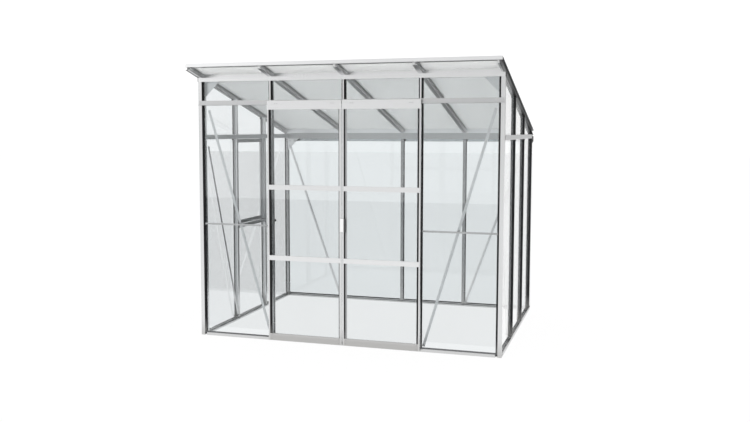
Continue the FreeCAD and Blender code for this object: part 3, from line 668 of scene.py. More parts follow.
def bolt_tree() -> bpy.types.NodeTree:
    """A hexagon head on a washer at each point, turned to the point's facing."""
    graph, given, result = geometry_tree("bolt_heads", {
        "Head Radius": 0.006, "Head Height": 0.005, "Washer Radius": 0.009, "Material": None})
    half = graph.math("MULTIPLY", given.outputs["Head Height"], 0.5)
    head = graph.add("GeometryNodeMeshCylinder", {
        "Vertices": 6, "Radius": given.outputs["Head Radius"], "Depth": given.outputs["Head Height"]})
    washer = graph.add("GeometryNodeMeshCylinder", {
        "Vertices": 16, "Radius": given.outputs["Washer Radius"], "Depth": 0.0016})
    raised = graph.move(head.outputs[0], Z=graph.math("ADD", half, 0.0012))
    whole = graph.add("GeometryNodeJoinGeometry", {0: raised})
    graph.tree.links.new(washer.outputs[0], whole.inputs[0])
    facing = graph.add("GeometryNodeInputNamedAttribute", {"Name": "facing"}, data_type="FLOAT_VECTOR")
    turned = graph.add("FunctionNodeAlignRotationToVector", {"Vector": facing.outputs[0]}, axis="Z")
    placed = graph.add("GeometryNodeInstanceOnPoints", {
        "Points": given.outputs["Geometry"], "Instance": whole.outputs[0],
        "Rotation": turned.outputs[0]})
    return close_tree(graph, placed.outputs[0], given, result)


def ribbed_sheet_tree() -> bpy.types.NodeTree:
    """A closed flat sheet whose faces dip between ribs that run along Y."""
    graph, given, result = geometry_tree("ribbed_sheet", {
        "Width": 0.6, "Length": 2.0, "Thickness": 0.006, "Cells": 60, "Dip": 0.0004, "Material": None})
    size = graph.vector(X=given.outputs["Width"], Y=given.outputs["Length"],
                        Z=given.outputs["Thickness"])
    columns = graph.math("MULTIPLY_ADD", given.outputs["Cells"], 6.0, 1.0)
    blank = graph.add("GeometryNodeMeshCube", {"Size": size, "Vertices X": columns})
    place = graph.split(graph.add("GeometryNodeInputPosition").outputs[0])
    pitch = graph.math("DIVIDE", given.outputs["Width"], given.outputs["Cells"])
    turns = graph.math("DIVIDE", place["X"], pitch)
    edge = graph.math("MULTIPLY", graph.math("MODULO", given.outputs["Cells"], 2.0), 0.5)
    wave = graph.math("COSINE", graph.math("MULTIPLY", graph.math("ADD", turns, edge), math.tau))
    hollow = graph.math("MULTIPLY_ADD", wave, -0.5, 0.5)
    hollow = graph.math("MULTIPLY", hollow, given.outputs["Dip"])
    inward = graph.math("MULTIPLY", graph.math("SIGN", place["Z"]), -1.0)
    shift = graph.vector(Z=graph.math("MULTIPLY", hollow, inward))
    shaped = graph.add("GeometryNodeSetPosition", {"Geometry": blank.outputs[0], "Offset": shift})
    return close_tree(graph, shaped.outputs[0], given, result)


def knob_tree() -> bpy.types.NodeTree:
    """A fluted knob about Z that swells in the middle of its length."""
    graph, given, result = geometry_tree("fluted_knob", {
        "Radius": 0.011, "Length": 0.02, "Flutes": 10.0, "Flute Depth": 0.08, "Material": None})
    blank = graph.add("GeometryNodeMeshCylinder", {
        "Vertices": 60, "Side Segments": 8, "Radius": given.outputs["Radius"],
        "Depth": given.outputs["Length"]})
    position = graph.add("GeometryNodeInputPosition").outputs[0]
    place = graph.split(position)
    angle = graph.math("ARCTAN2", place["Y"], place["X"])
    wave = graph.math("COSINE", graph.math("MULTIPLY", angle, given.outputs["Flutes"]))
    flute = graph.math("MULTIPLY", wave, given.outputs["Flute Depth"])
    along = graph.math("DIVIDE", place["Z"], given.outputs["Length"])
    pinch = graph.math("MULTIPLY", graph.math("MULTIPLY", along, along), -0.8)
    scale = graph.math("ADD", graph.math("ADD", flute, pinch), 0.92)
    moved = graph.add("ShaderNodeVectorMath", {0: position, 1: graph.vector(X=scale, Y=scale, Z=1.0)},
                      operation="MULTIPLY")
    shaped = graph.add("GeometryNodeSetPosition", {
        "Geometry": blank.outputs[0], "Position": moved.outputs[0]})
    return close_tree(graph, shaped.outputs[0], given, result)


def bracket_tree() -> bpy.types.NodeTree:
    """Evenly spaced straps along X between two points, each a flat bar with an upturned end."""
    graph, given, result = geometry_tree("strap_row", {
        "Start": (0.0, 0.0, 0.0), "End": (1.0, 0.0, 0.0), "Count": 5, "Width": 0.02,
        "Thickness": 0.002, "Reach": 0.06, "Lip": 0.012, "Material": None})
    width, reach, thickness, lip_height = (
        given.outputs[label] for label in ("Width", "Reach", "Thickness", "Lip"))
    strap = graph.add("GeometryNodeMeshCube", {"Size": graph.vector(X=width, Y=reach, Z=thickness)})
    lip = graph.add("GeometryNodeMeshCube", {"Size": graph.vector(X=width, Y=thickness, Z=lip_height)})
    edge = graph.math("MULTIPLY", graph.math("SUBTRACT", reach, thickness), 0.5)
    down = graph.math("MULTIPLY", graph.math("ADD", lip_height, thickness), -0.5)
    whole = graph.add("GeometryNodeJoinGeometry", {0: strap.outputs[0]})
    for sign in (-1.0, 1.0):
        moved = graph.move(lip.outputs[0], Y=graph.math("MULTIPLY", edge, sign), Z=down)
        graph.tree.links.new(moved, whole.inputs[0])
    row = graph.add("GeometryNodeMeshLine", {
        "Count": given.outputs["Count"], "Start Location": given.outputs["Start"],
        "Offset": given.outputs["End"]}, mode="END_POINTS")
    placed = graph.add("GeometryNodeInstanceOnPoints", {
        "Points": row.outputs[0], "Instance": whole.outputs[0]})
    return close_tree(graph, placed.outputs[0], given, result)


def clip_tree() -> bpy.types.NodeTree:
    """A band round a pipe at each point, with a lug that reaches back to the wall."""
    graph, given, result = geometry_tree("pipe_clip", {
        "Radius": 0.013, "Height": 0.014, "Back": 0.03, "Lug": 0.012, "Material": None})
    band = graph.add("GeometryNodeMeshCylinder", {
        "Vertices": 32, "Radius": given.outputs["Radius"], "Depth": given.outputs["Height"]})
    reach = graph.vector(X=given.outputs["Lug"], Y=given.outputs["Back"], Z=given.outputs["Height"])
    lug = graph.add("GeometryNodeMeshCube", {"Size": reach})
    moved = graph.move(lug.outputs[0], Y=graph.math("MULTIPLY", given.outputs["Back"], -0.5))
    whole = graph.add("GeometryNodeJoinGeometry", {0: band.outputs[0]})
    graph.tree.links.new(moved, whole.inputs[0])
    placed = graph.add("GeometryNodeInstanceOnPoints", {
        "Points": given.outputs["Geometry"], "Instance": whole.outputs[0]})
    return close_tree(graph, placed.outputs[0], given, result)


BOLTS, RIBBED = bolt_tree(), ribbed_sheet_tree()
KNOB, STRAPS, CLIPS = knob_tree(), bracket_tree(), clip_tree()


def grow(name: str, tree: bpy.types.NodeTree, finish: Finish, values: dict[str, object],
         points: list[tuple[Vector, Vector]] = (), place: Matrix | None = None) -> bpy.types.Object:
    """Run a geometry tree and keep its result as a plain mesh.

    Args:
        name: The piece's name.
        tree: The geometry tree.
        finish: The finish, given to the tree's Material input.
        values: Values of the tree's other inputs, by name.
        points: Points for the tree, each with the direction that it faces.
        place: Puts the result in the part's frame.

    Returns:
        An object at the origin.
    """
    seed = bpy.data.meshes.new(name + "_points")
    seed.from_pydata([tuple(point) for point, facing in points], [], [])
    if points:
        facing_values = seed.attributes.new("facing", "FLOAT_VECTOR", "POINT")
        facing_values.data.foreach_set("vector", [n for point, facing in points for n in facing])
    carrier = as_object(name + "_points", seed)
    modifier = carrier.modifiers.new("grow", "NODES")
    modifier.node_group = tree
    sockets = {item.name: item.identifier for item in tree.interface.items_tree
               if item.in_out == "INPUT"}
    for label, value in {**values, "Material": finish.material()}.items():
        modifier[sockets[label]] = value
    evaluated = carrier.evaluated_get(bpy.context.evaluated_depsgraph_get())
    data = bpy.data.meshes.new_from_object(evaluated)
    carrier.modifiers.remove(modifier)
    bpy.data.objects.remove(carrier)
    bpy.data.meshes.remove(seed)
    data.name = name
    if place is not None:
        data.transform(place)
    return as_object(name, data)


# ------------------------------------------------------------------ shared places
ALONG_X = Matrix(((0, 0, 1, 0), (1, 0, 0, 0), (0, 1, 0, 0), (0, 0, 0, 1)))
UP, OUT_FRONT, OUT_REAR = Vector((0, 0, 1)), Vector((0, -1, 0)), Vector((0, 1, 0))
Span = tuple[Vector, Vector]


def solids(node: str) -> list[list[Vector]]:
    """Split a CAD node into its separate solids.

    Args:
        node: The node's name.

    Returns:
        The points of each solid, ordered by the solids' lowest corners.
    """
    copy = bmesh.new()
    copy.from_mesh(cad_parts[node].data)
    bmesh.ops.remove_doubles(copy, verts=copy.verts, dist=1e-5)
    left, found = set(copy.verts), []
    while left:
        stack, points = [left.pop()], []
        while stack:
            vertex = stack.pop()
            points.append(vertex.co.copy())
            for edge in vertex.link_edges:
                other = edge.other_vert(vertex)
                if other in left:
                    left.remove(other)
                    stack.append(other)
        found.append(points)
    copy.free()
    return sorted(found, key=lambda points: tuple(round(value, 4) for value in span(points)[0]))


def span(points: list[Vector]) -> Span:
    """Lowest and highest corners of some points."""
    low = Vector(min(point[axis] for point in points) for axis in range(3))
    high = Vector(max(point[axis] for point in points) for axis in range(3))
    return low, high


def tips(points: list[Vector], inset: float) -> tuple[Vector, Vector]:
    """Middles of a slanting strip's lower and upper ends.

    Args:
        points: The strip's points.
        inset: How far inside the ends the middles lie.
    """
    ordered = sorted(points, key=lambda point: point.z)
    middles = []
    for corners in (ordered[:4], ordered[-4:]):
        middles.append(sum(corners, Vector()) / 4)
    low, high = middles
    step = (high - low).normalized() * inset
    return low + step, high - step


@dataclass(frozen=True)
class Layout:
    """Planes and bar lines of the building, read from its CAD nodes."""

    front: float
    rear: float
    half: float
    bars_x: tuple[float, ...]
    bars_y: tuple[float, ...]
    sill: float
    roof: Matrix
    roof_length: float

    @classmethod
    def read(cls) -> "Layout":
        """Measure the CAD nodes."""
        low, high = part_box("corner_posts")
        bars_x = tuple(sum(c.x for c in span(p)) / 2 for p in solids("rear_glazing_bars"))
        bars_y = sorted({round(sum(c.y for c in span(p)) / 2, 4) for p in solids("side_glazing_bars")})
        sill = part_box("base_sills")[1].z
        return cls(low.y, high.y, high.x, bars_x, tuple(bars_y), sill, *cls.slope())

    @staticmethod
    def slope() -> tuple[Matrix, float]:
        """The roof's plane: X across, Y down the slope, Z out of the sheets' top faces."""
        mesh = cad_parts["roof_panels"].data
        face = max(mesh.polygons, key=lambda polygon: polygon.area * (polygon.normal.z > 0.5))
        out = face.normal.normalized()
        down = Vector((0, out.z, -out.y))
        level = out.dot(mesh.vertices[face.vertices[0]].co)
        along = [down.dot(vertex.co) for vertex in mesh.vertices]
        start = down * min(along) + out * level
        turn = Matrix((Vector((1, 0, 0)), down, out)).transposed().to_4x4()
        return Matrix.Translation(start) @ turn, max(along) - min(along)


# ------------------------------------------------------------------ sub-assemblies
@dataclass
class Structure:
    """Sills, posts, bars, beams, braces and gussets, with the bolts that hold them."""

    layout: Layout
    wall_depth: float = 0.05
    roof_bar_depth: float = 0.048
    corner_nose: float = 0.034
    bolt_inset: float = 0.014
    gusset_holes: tuple[tuple[float, float], ...] = ((0.2, 0.2), (0.62, 0.16), (0.16, 0.62))
    seal_height: float = 0.009
    seal_lip: float = 0.002
    plug_height: float = 0.03
    cap_half: float = 0.0205
    cap_drop: float = 0.014

    def build(self) -> None:
        """Dress the frame and add its fixings."""
        dress(Stock.POST_REAR_SHADED, "corner_posts", "front_glazing_bars", "rear_glazing_bars")
        dress(Stock.GABLE_BAR_SHADED, "side_glazing_bars")
        dress(Stock.RAIL, "front_eave_beam", "front_transom")
        dress(Stock.REAR_BEAM_SHADED, "rear_eave_beam")
        dress(Stock.TRACK_SHADED, "door_track")
        dress(Stock.SIDE_RAIL, "side_rails", "vent_crossbar")
        dress(Stock.PLATE, "base_sills", "wall_braces", "corner_gussets")
        self.brace_bolts()
        self.gusset_bolts()
        self.sill_fixings()
        self.sill_seals()
        self.foot_plugs()
        self.bar_caps()

    def inward(self, point: Vector, thin: int) -> Vector:
        """The way into the house from a strip that lies against a wall.

        Args:
            point: A point on the strip.
            thin: The axis across its thickness.
        """
        facing = Vector((0, 0, 0))
        middle = (0.0, (self.layout.front + self.layout.rear) / 2, 0.0)
        facing[thin] = -1.0 if point[thin] > middle[thin] else 1.0
        return facing

    def brace_bolts(self) -> None:
        """Bolt both ends of each diagonal brace."""
        points = []
        for strip in solids("wall_braces"):
            low, high = span(strip)
            thin = 0 if high.x - low.x < high.y - low.y else 1
            for tip in tips(strip, self.bolt_inset):
                facing = self.inward(tip, thin)
                tip[thin] = high[thin] if facing[thin] > 0 else low[thin]
                points.append((tip, facing))
        piece = grow("brace_bolts", BOLTS, Stock.BOLT, {}, points)
        mount(piece)

    def gusset_bolts(self) -> None:
        """Bolt the legs of each corner gusset."""
        points = []
        for plate in solids("corner_gussets"):
            low, high = span(plate)
            size = high - low
            thin = min(range(3), key=lambda axis: size[axis])
            wide = 1 if thin == 0 else 0
            centre = (low + high) / 2
            facing = self.inward(centre, thin)
            face = high[thin] if facing[thin] > 0 else low[thin]
            outer = high[wide] if abs(high[wide]) > abs(low[wide]) else low[wide]
            step = -1.0 if outer > 0 else 1.0
            for across, drop in self.gusset_holes:
                spot = Vector((0, 0, high.z - size.z * drop))
                spot[wide] = outer + step * size[wide] * across
                spot[thin] = face
                points.append((spot, facing))
        piece = grow("gusset_bolts", BOLTS, Stock.BOLT, {"Head Radius": 0.0055}, points)
        mount(piece)

    def sill_fixings(self) -> None:
        """Bolt the uprights to the sills from inside and the sills to each other."""
        place, points = self.layout, []
        inner = self.wall_depth
        for x in (*place.bars_x, -place.half + inner, place.half - inner):
            for y, facing in ((place.front + inner, OUT_REAR), (place.rear - inner, OUT_FRONT)):
                points.append((Vector((x, y, place.sill * 0.5)), facing))
        for y in place.bars_y:
            points.append((Vector((-place.half + inner, y, place.sill * 0.6)), Vector((1, 0, 0))))
            points.append((Vector((place.half - inner, y, place.sill * 0.6)), Vector((-1, 0, 0))))
        piece = grow("sill_bolts", BOLTS, Stock.BOLT,
                     {"Head Radius": 0.005, "Washer Radius": 0.008}, points)
        mount(piece)

    def sill_seals(self) -> None:
        """Lay a grey seal along the foot of the front and rear glass."""
        shape, place = Shape(), self.layout
        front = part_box("front_wall_glass")[0].y
        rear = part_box("rear_wall_glass")[1].y
        height, base, lip = self.seal_height, place.sill, self.seal_lip
        depth = front - place.front - 0.001
        bead = [(0, 0), (-depth, 0), (-depth, lip), (-0.002, height), (0, height)]
        corner = place.half - self.corner_nose
        for low, high in self.gaps((-corner, *place.bars_x, corner)):
            shape.sweep([(front + x, base + z) for x, z in bead], low, high, ALONG_X)
            shape.sweep([(rear - x, base + z) for x, z in bead], low, high, ALONG_X)
        mount(shape.finish("sill_seals", Stock.GASKET))

    @staticmethod
    def gaps(lines: tuple[float, ...], rib: float = 0.0065) -> list[tuple[float, float]]:
        """Clear spans between bar lines.

        Args:
            lines: Bar lines in order; the first and last are the corners' edges.
            rib: Half of a bar's rib.
        """
        spans = []
        for index, (low, high) in enumerate(zip(lines, lines[1:])):
            start = low + (rib if index else 0.0)
            stop = high - (rib if index < len(lines) - 2 else 0.0)
            spans.append((start, stop))
        return spans

    def foot_plugs(self) -> None:
        """Plug the bolt holes at the feet of the rear corners, outside and inside."""
        shape, place = Shape(), self.layout
        profile = [(0, 0), (0.0065, 0), (0.0085, 0.0012), (0.0085, 0.003), (0.006, 0.0045), (0, 0.0045)]
        for sign in (-1, 1):
            turn = Matrix.Rotation(sign * math.pi / 2, 4, "Y")
            for x in (place.half, place.half - self.wall_depth):
                spot = Matrix.Translation((sign * x, place.rear - 0.012, self.plug_height))
                shape.turn(profile, spot @ turn, 16)
        mount(shape.finish("foot_plugs", Stock.CAP))

    def bar_caps(self) -> None:
        """Cap the side bars under the gable edge and under the side rail."""
        shape, place = Shape(), self.layout
        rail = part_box("side_rails")[0].z
        for sign in (-1, 1):
            for y in place.bars_y:
                for top in (place.sill + 0.02, rail, self.gable(y) - 0.001):
                    x = sorted((sign * (place.half - 0.02), sign * (place.half + 0.0015)))
                    shape.box((x[0], y - self.cap_half, top - self.cap_drop),
                              (x[1], y + self.cap_half, top - 0.0005), 0.0015)
        mount(shape.finish("side_bar_caps", Stock.CAP))

    def gable(self, y: float) -> float:
        """Height of the roof bars' undersides at a depth y."""
        out = self.layout.roof.col[2].xyz
        origin = self.layout.roof.translation - out * self.roof_bar_depth
        return origin.z - (y - origin.y) * out.y / out.z


@dataclass
class Glazing:
    """Glass panes with their rubber seals and seam strips."""

    def build(self) -> None:
        """Dress the panes and seals."""
        dress(Stock.GLASS, "front_wall_glass", "rear_wall_glass", "left_door_glass", "right_door_glass")
        dress(Stock.GABLE_GLASS_LIT, "side_wall_glass", "vent_glass")
        dress(Stock.SEAL, "front_seals", "rear_seals", "side_seals", "roof_bar_seals",
              "right_door_seals")
        dress(Stock.MEETING_SEAL, "left_door_seals")
        dress(Stock.SEAM, "pane_seam_strips")


@dataclass
class Roof:
    """Twin-wall sheets between the roof bars, the fascia and their fixings."""

    layout: Layout
    thickness: float = 0.006
    dip: float = 0.0004
    cell: float = 0.0105
    screw_gap: float = 0.3
    clear: float = 0.016

    def build(self) -> None:
        """Dress the bars and build the sheets."""
        dress(Stock.EDGE_BAR_SHADED, "roof_edge_bars")
        dress(Stock.RAFTER_SHADED, "roof_bars")
        dress(Stock.FASCIA, "roof_fascia")
        dress(Stock.CAP, "eave_end_caps")
        self.sheets()
        self.edge_tapes()
        self.fascia_strip()
        self.screws()

    def sheets(self) -> None:
        """Build each sheet with ribs that run down the slope."""
        whole = bmesh.new()
        for points in solids("roof_panels"):
            low, high = span(points)
            width = high.x - low.x
            centre = Vector(((low.x + high.x) / 2, self.layout.roof_length / 2, -self.thickness / 2))
            sheet = grow("sheet", RIBBED, Stock.SHEET, {
                "Width": width, "Length": self.layout.roof_length, "Thickness": self.thickness,
                "Dip": self.dip, "Cells": int(width / self.cell)},
                place=self.layout.roof @ Matrix.Translation(centre))
            whole.from_mesh(sheet.data)
            bpy.data.objects.remove(sheet)
        data = bpy.data.meshes.new("roof_sheets")
        whole.to_mesh(data)
        whole.free()
        data.materials.append(Stock.SHEET.material())
        mount(as_object("roof_sheets", data), stands_for=("roof_panels",))

    def edge_tapes(self) -> None:
        """Close the sheets' cells at both ends with a channel strip."""
        shape, place = Shape(), self.layout
        length = place.roof_length
        for points in solids("roof_panels"):
            low, high = span(points)
            for start, stop in ((0.0, 0.012), (length - 0.012, length)):
                shape.sweep([(start, 0.0), (stop, 0.0), (stop, 0.0008), (start, 0.0008)],
                            low.x + 0.004, high.x - 0.004, place.roof @ ALONG_X)
        mount(shape.finish("sheet_end_strips", Stock.RAIL))

    def fascia_strip(self) -> None:
        """Lay a black strip along the fascia's lower edge between the roof bars."""
        dark_strip, place = Shape(), self.layout
        turn = place.roof @ ALONG_X
        for points in solids("roof_panels"):
            low, high = span(points)
            start, stop = low.x + self.clear, high.x - self.clear
            dark_strip.sweep([(-0.002, -0.026), (0.012, -0.026), (0.012, -0.021), (-0.002, -0.021)],
                       start, stop, turn)
        mount(dark_strip.finish("fascia_dark_strip", Stock.SEAL))

    def screws(self) -> None:
        """Screw the sealing strips down to the roof bars."""
        place, points = self.layout, []
        out = place.roof.col[2].xyz
        for cap in solids("roof_bar_seals"):
            low, high = span(cap)
            count = int(place.roof_length / self.screw_gap)
            for index in range(1, count + 1):
                along = place.roof_length * (index - 0.5) / count
                spot = place.roof @ Vector(((low.x + high.x) / 2, along, 0.004))
                points.append((spot, out))
        piece = grow("roof_screws", BOLTS, Stock.BOLT, {
            "Head Radius": 0.004, "Head Height": 0.0025, "Washer Radius": 0.007}, points)
        mount(piece)


@dataclass
class DoorLeaf:
    """One sliding leaf: frame, glass, hung header, handle and fixings."""

    side: str
    screw_radius: float = 0.0035
    bead_width: float = 0.013

    def build(self) -> None:
        """Dress the leaf and add its handle and screws, and the right leaf's bead."""
        body = self.side
        dress(Stock.POST_REAR_SHADED, f"{body}_stiles")
        dress(Stock.RAIL, f"{body}_rails", f"{body}_header")
        dress(Stock.NYLON, f"{body}_rollers")
        self.handle()
        self.screws()
        self.header_screws()
        if self.side == "right_door":
            self.bead()

    def handle(self) -> None:
        """Mould the leaf's half of the pull handle over its CAD block."""
        low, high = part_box(f"{self.side}_handle")
        shape = Shape()
        if self.side == "left_door":
            root = low.x + 0.012
            outline = [(low.x, high.y), (low.x, low.y + 0.003), (low.x + 0.003, low.y),
                       (high.x, low.y), (high.x, low.y + 0.006), (root, low.y + 0.006),
                       (root, high.y)]
            shape.sweep(outline, low.z, high.z, Matrix())
            finish = Stock.WHITE
        else:
            grip = high.x - 0.012
            outline = [(low.x, high.y), (low.x, high.y - 0.003), (grip, high.y - 0.003),
                       (grip + 0.001, low.y + 0.004), (grip + 0.004, low.y), (high.x - 0.003, low.y),
                       (high.x, low.y + 0.004), (high.x, high.y)]
            shape.sweep(outline, low.z, high.z, Matrix())
            finish = Stock.GRIP
        shape.soften(0.0009, 2)
        piece = shape.finish(f"{self.side}_pull", finish)
        mount(piece, self.side, (f"{self.side}_handle",))

    def screws(self) -> None:
        """Screw the leaf's lower corners."""
        rail_low, rail_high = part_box(f"{self.side}_rails")
        points, face = [], rail_low.y
        for x in (rail_low.x + 0.016, rail_high.x - 0.016):
            for z in (rail_low.z + 0.014, rail_low.z + 0.043):
                points.append((Vector((x, face, z)), OUT_FRONT))
        piece = grow(f"{self.side}_screws", BOLTS, Stock.BOLT, {
            "Head Radius": self.screw_radius, "Head Height": 0.002, "Washer Radius": 0.005}, points)
        mount(piece, self.side)

    def header_screws(self) -> None:
        """Screw the roller hangers to the header."""
        points = []
        low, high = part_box(f"{self.side}_header")
        for x in (low.x + 0.07, low.x + 0.09, high.x - 0.09, high.x - 0.07):
            points.append((Vector((x, low.y, (low.z + high.z) / 2 + 0.012)), OUT_FRONT))
        piece = grow(f"{self.side}_header_screws", BOLTS, Stock.BOLT, {
            "Head Radius": self.screw_radius, "Head Height": 0.002, "Washer Radius": 0.0048}, points)
        mount(piece, self.side)

    def bead(self) -> None:
        """Run a pale bead on the glass beside the meeting stile's seal."""
        glass_low, glass_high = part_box(f"{self.side}_glass")
        edge = span(solids(f"{self.side}_seals")[0])[1].x
        shape = Shape()
        face, stop = glass_low.y, edge + self.bead_width
        outline = [(edge, face), (edge, face - 0.003), (stop, face - 0.0005), (stop, face)]
        shape.sweep(outline, glass_low.z, glass_high.z, Matrix())
        mount(shape.finish(f"{self.side}_bead", Stock.BEAD), self.side)


@dataclass
class SideVent:
    """The closed vent in the left side wall with its stay and knob."""

    screw_shares: tuple[float, ...] = (0.08, 0.36, 0.64, 0.92)
    screw_drop: float = 0.012

    def build(self) -> None:
        """Dress the vent and add its knob and screws."""
        dress(Stock.VENT, "vent_frame", "vent_stay")
        self.knob()
        self.screws()

    def knob(self) -> None:
        """Turn a fluted knob on the end of the stay."""
        low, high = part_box("vent_knob")
        size, middle = high - low, (low + high) / 2
        turn = Matrix.Translation(middle) @ Matrix.Rotation(math.pi / 2, 4, "Y")
        piece = grow("stay_knob", KNOB, Stock.CAP, {
            "Radius": min(size.y, size.z) / 2 * 0.98, "Length": size.x}, place=turn)
        mount(piece, stands_for=("vent_knob",))

    def screws(self) -> None:
        """Screw the vent's top member to the rail."""
        low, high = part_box("vent_frame")
        points = []
        for share in self.screw_shares:
            y = low.y + (high.y - low.y) * share
            points.append((Vector((high.x, y, high.z - self.screw_drop)), Vector((1, 0, 0))))
        piece = grow("vent_screws", BOLTS, Stock.BOLT, {
            "Head Radius": 0.004, "Head Height": 0.0025, "Washer Radius": 0.006}, points)
        mount(piece)


@dataclass
class Drainage:
    """Rear gutter, its end caps and straps, the outlet funnel and the downpipe."""

    clip_heights: tuple[float, ...] = (0.3, 0.8, 1.3)
    straps: int = 6

    def build(self) -> None:
        """Dress the gutter and add the funnel, collar, straps and clips."""
        dress(Stock.RAIL, "rear_gutter")
        dress(Stock.CAP, "gutter_end_caps")
        dress(Stock.PIPE, "downpipe")
        self.funnel()
        self.collar()
        self.strap_row()
        self.clips()

    def funnel(self) -> None:
        """Turn the outlet funnel."""
        low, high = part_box("gutter_outlet")
        top = (high.x - low.x) / 2
        pipe_low, pipe_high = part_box("downpipe")
        foot = (pipe_high.x - pipe_low.x) / 2
        height = high.z - low.z
        middle = (low + high) / 2
        outline = [(0, 0), (foot - 0.001, 0), (foot + 0.0005, 0.002), (foot + 0.001, height * 0.35),
                   (foot + 0.004, height * 0.5), (top - 0.004, height * 0.8),
                   (top - 0.0015, height * 0.88), (top, height * 0.9), (top, height * 0.97),
                   (top - 0.001, height), (0, height)]
        shape = Shape()
        shape.turn(outline, Matrix.Translation((middle.x, middle.y, low.z)), 32)
        piece = shape.finish("outlet_funnel", Stock.CAP)
        mount(piece, stands_for=("gutter_outlet",))

    def collar(self) -> None:
        """Turn the ribbed collar on the downpipe's top."""
        low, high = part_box("pipe_collar")
        radius, height, middle = (high.x - low.x) / 2, high.z - low.z, (low + high) / 2
        outline = [(0, 0), (radius - 0.001, 0), (radius, 0.001), (radius, height * 0.25),
                   (radius - 0.0015, height * 0.32), (radius - 0.0015, height * 0.68),
                   (radius, height * 0.75), (radius, height - 0.001), (radius - 0.001, height),
                   (0, height)]
        shape = Shape()
        shape.turn(outline, Matrix.Translation((middle.x, middle.y, low.z)), 32)
        mount(shape.finish("downpipe_collar", Stock.WHITE), stands_for=("pipe_collar",))

    def strap_row(self) -> None:
        """Tie the gutter's lip back to the eave with straps."""
        low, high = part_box("rear_gutter")
        level, middle = high.z - 0.0025, (low.y + high.y) / 2
        piece = grow("gutter_straps", STRAPS, Stock.PLATE, {
            "Start": (low.x + 0.2, middle, level), "End": (high.x - 0.2, middle, level),
            "Count": self.straps, "Width": 0.018, "Thickness": 0.0018,
            "Reach": high.y - low.y - 0.005, "Lip": 0.012})
        mount(piece)

    def clips(self) -> None:
        """Clip the downpipe to the rear corner post."""
        low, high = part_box("downpipe")
        middle, radius = (low + high) / 2, (high.x - low.x) / 2
        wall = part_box("corner_posts")[1].y
        points = [(Vector((middle.x, middle.y, z)), UP) for z in self.clip_heights]
        piece = grow("pipe_clips", CLIPS, Stock.GRIP, {
            "Radius": radius + 0.0025, "Height": 0.014, "Back": middle.y - wall, "Lug": 0.012}, points)
        mount(piece)


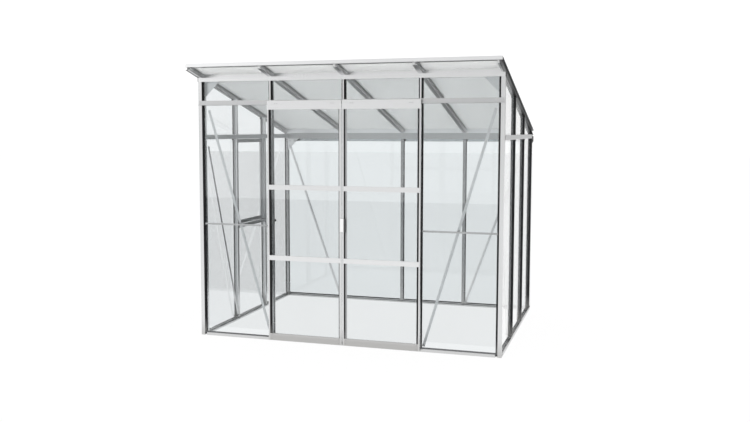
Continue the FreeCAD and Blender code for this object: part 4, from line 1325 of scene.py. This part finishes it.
# ------------------------------------------------------------------ studio
@dataclass
class Studio:
    """Camera, soft light and the pale floor."""

    eye: tuple[float, float, float] = (2.2208, -7.5799, 1.7704)
    yaw: float = 17.762
    pitch: float = 4.840
    lens: float = 41.607
    shift: tuple[float, float] = (0.0296, -0.0094)
    floor_side: float = 60.0
    floor_reach: float = 15.0
    left_sky: float = 0.86
    right_sky: float = 0.4
    high_sky: float = 1.1
    backdrop: float = 1.08
    fill: float = 1.28

    def build(self) -> None:
        """Set up the stage."""
        self.camera()
        self.floor()
        self.sky()
        self.lamps()
        bpy.context.scene.view_settings.view_transform = "Standard"

    def camera(self) -> None:
        """Place the camera."""
        data = bpy.data.cameras.new("camera")
        data.lens, data.sensor_width, data.sensor_fit = self.lens, 36.0, "HORIZONTAL"
        data.shift_x, data.shift_y = self.shift
        camera = as_object("camera", data)
        camera.location = self.eye
        camera.rotation_euler = (math.radians(90.0 - self.pitch), 0.0, math.radians(self.yaw))
        bpy.context.scene.camera = camera

    def floor(self) -> None:
        """Lay the floor just under the sills."""
        shape = Shape()
        side = self.floor_side
        shape.box((-side, -self.floor_reach, -0.02), (side, side, -0.0005))
        floor = shape.finish("studio_floor", Stock.FLOOR)

    def sky(self) -> None:
        """Light the room from all round: bright above and to the left, dim to the right.

        Rays that go straight, pass through glass or are mirrored by a pane's outside find the
        even backdrop instead, and diffuse rays find the fill.
        """
        world = bpy.data.worlds.new("studio")
        bpy.context.scene.world = world
        world.use_nodes = True
        graph = Graph(world.node_tree)
        background = world.node_tree.nodes["Background"]
        background.inputs["Color"].default_value = (1.0, 1.0, 1.0, 1.0)
        way = graph.split(graph.add("ShaderNodeTexCoord").outputs["Generated"])
        side = graph.add("ShaderNodeMapRange", {
            "Value": way["X"], "From Min": -0.2, "From Max": 0.35,
            "To Min": self.left_sky, "To Max": self.right_sky},
            interpolation_type="SMOOTHSTEP")
        above = graph.add("ShaderNodeMapRange", {
            "Value": way["Z"], "From Min": 0.25, "From Max": 0.7, "To Min": 0.0, "To Max": 1.0},
            interpolation_type="SMOOTHSTEP")
        level = graph.add("ShaderNodeMix", {0: above.outputs[0], 2: side.outputs[0], 3: self.high_sky})
        path = graph.add("ShaderNodeLightPath")
        once = graph.math("MINIMUM", path.outputs["Glossy Depth"], 1.0)
        seen = graph.math("MULTIPLY", path.outputs["Is Transmission Ray"],
                          graph.math("SUBTRACT", 1.0, once))
        straight = graph.math("MAXIMUM", path.outputs["Is Camera Ray"], seen)
        straight = graph.math("MAXIMUM", straight, pane_mirror(graph)[0])
        strength = graph.add("ShaderNodeMix", {
            0: straight, 2: level.outputs[0], 3: self.backdrop})
        filled = graph.add("ShaderNodeMix", {
            0: path.outputs["Is Diffuse Ray"], 2: strength.outputs[0], 3: self.fill})
        graph.tree.links.new(filled.outputs[0], background.inputs["Strength"])

    def lamps(self) -> None:
        """Hang soft boxes over and before the building."""
        for name, spot, aim, size, power in (
                ("overhead", (0.0, -0.5, 6.0), (0.0, 0.0, 0.0), 7.0, 60.0),
                ("front_left", (-5.0, -6.0, 4.5), (0.0, 0.0, 1.0), 4.0, 20.0)):
            data = bpy.data.lights.new(name, "AREA")
            data.energy, data.size = power, size
            lamp = as_object(name, data)
            lamp.location = spot
            lamp.rotation_euler = (Vector(aim) - Vector(spot)).to_track_quat("-Z", "Y").to_euler()


def main() -> None:
    """Build each sub-assembly in order, then the studio."""
    logging.basicConfig(level=logging.INFO, format="%(name)s: %(message)s")
    layout = Layout.read()
    for assembly in (Structure(layout), Glazing(), Roof(layout), DoorLeaf("left_door"),
                     DoorLeaf("right_door"), SideVent(), Drainage(), Studio()):
        log.info("building %s", type(assembly).__name__)
        assembly.build()


if __name__ == "__main__":
    main()
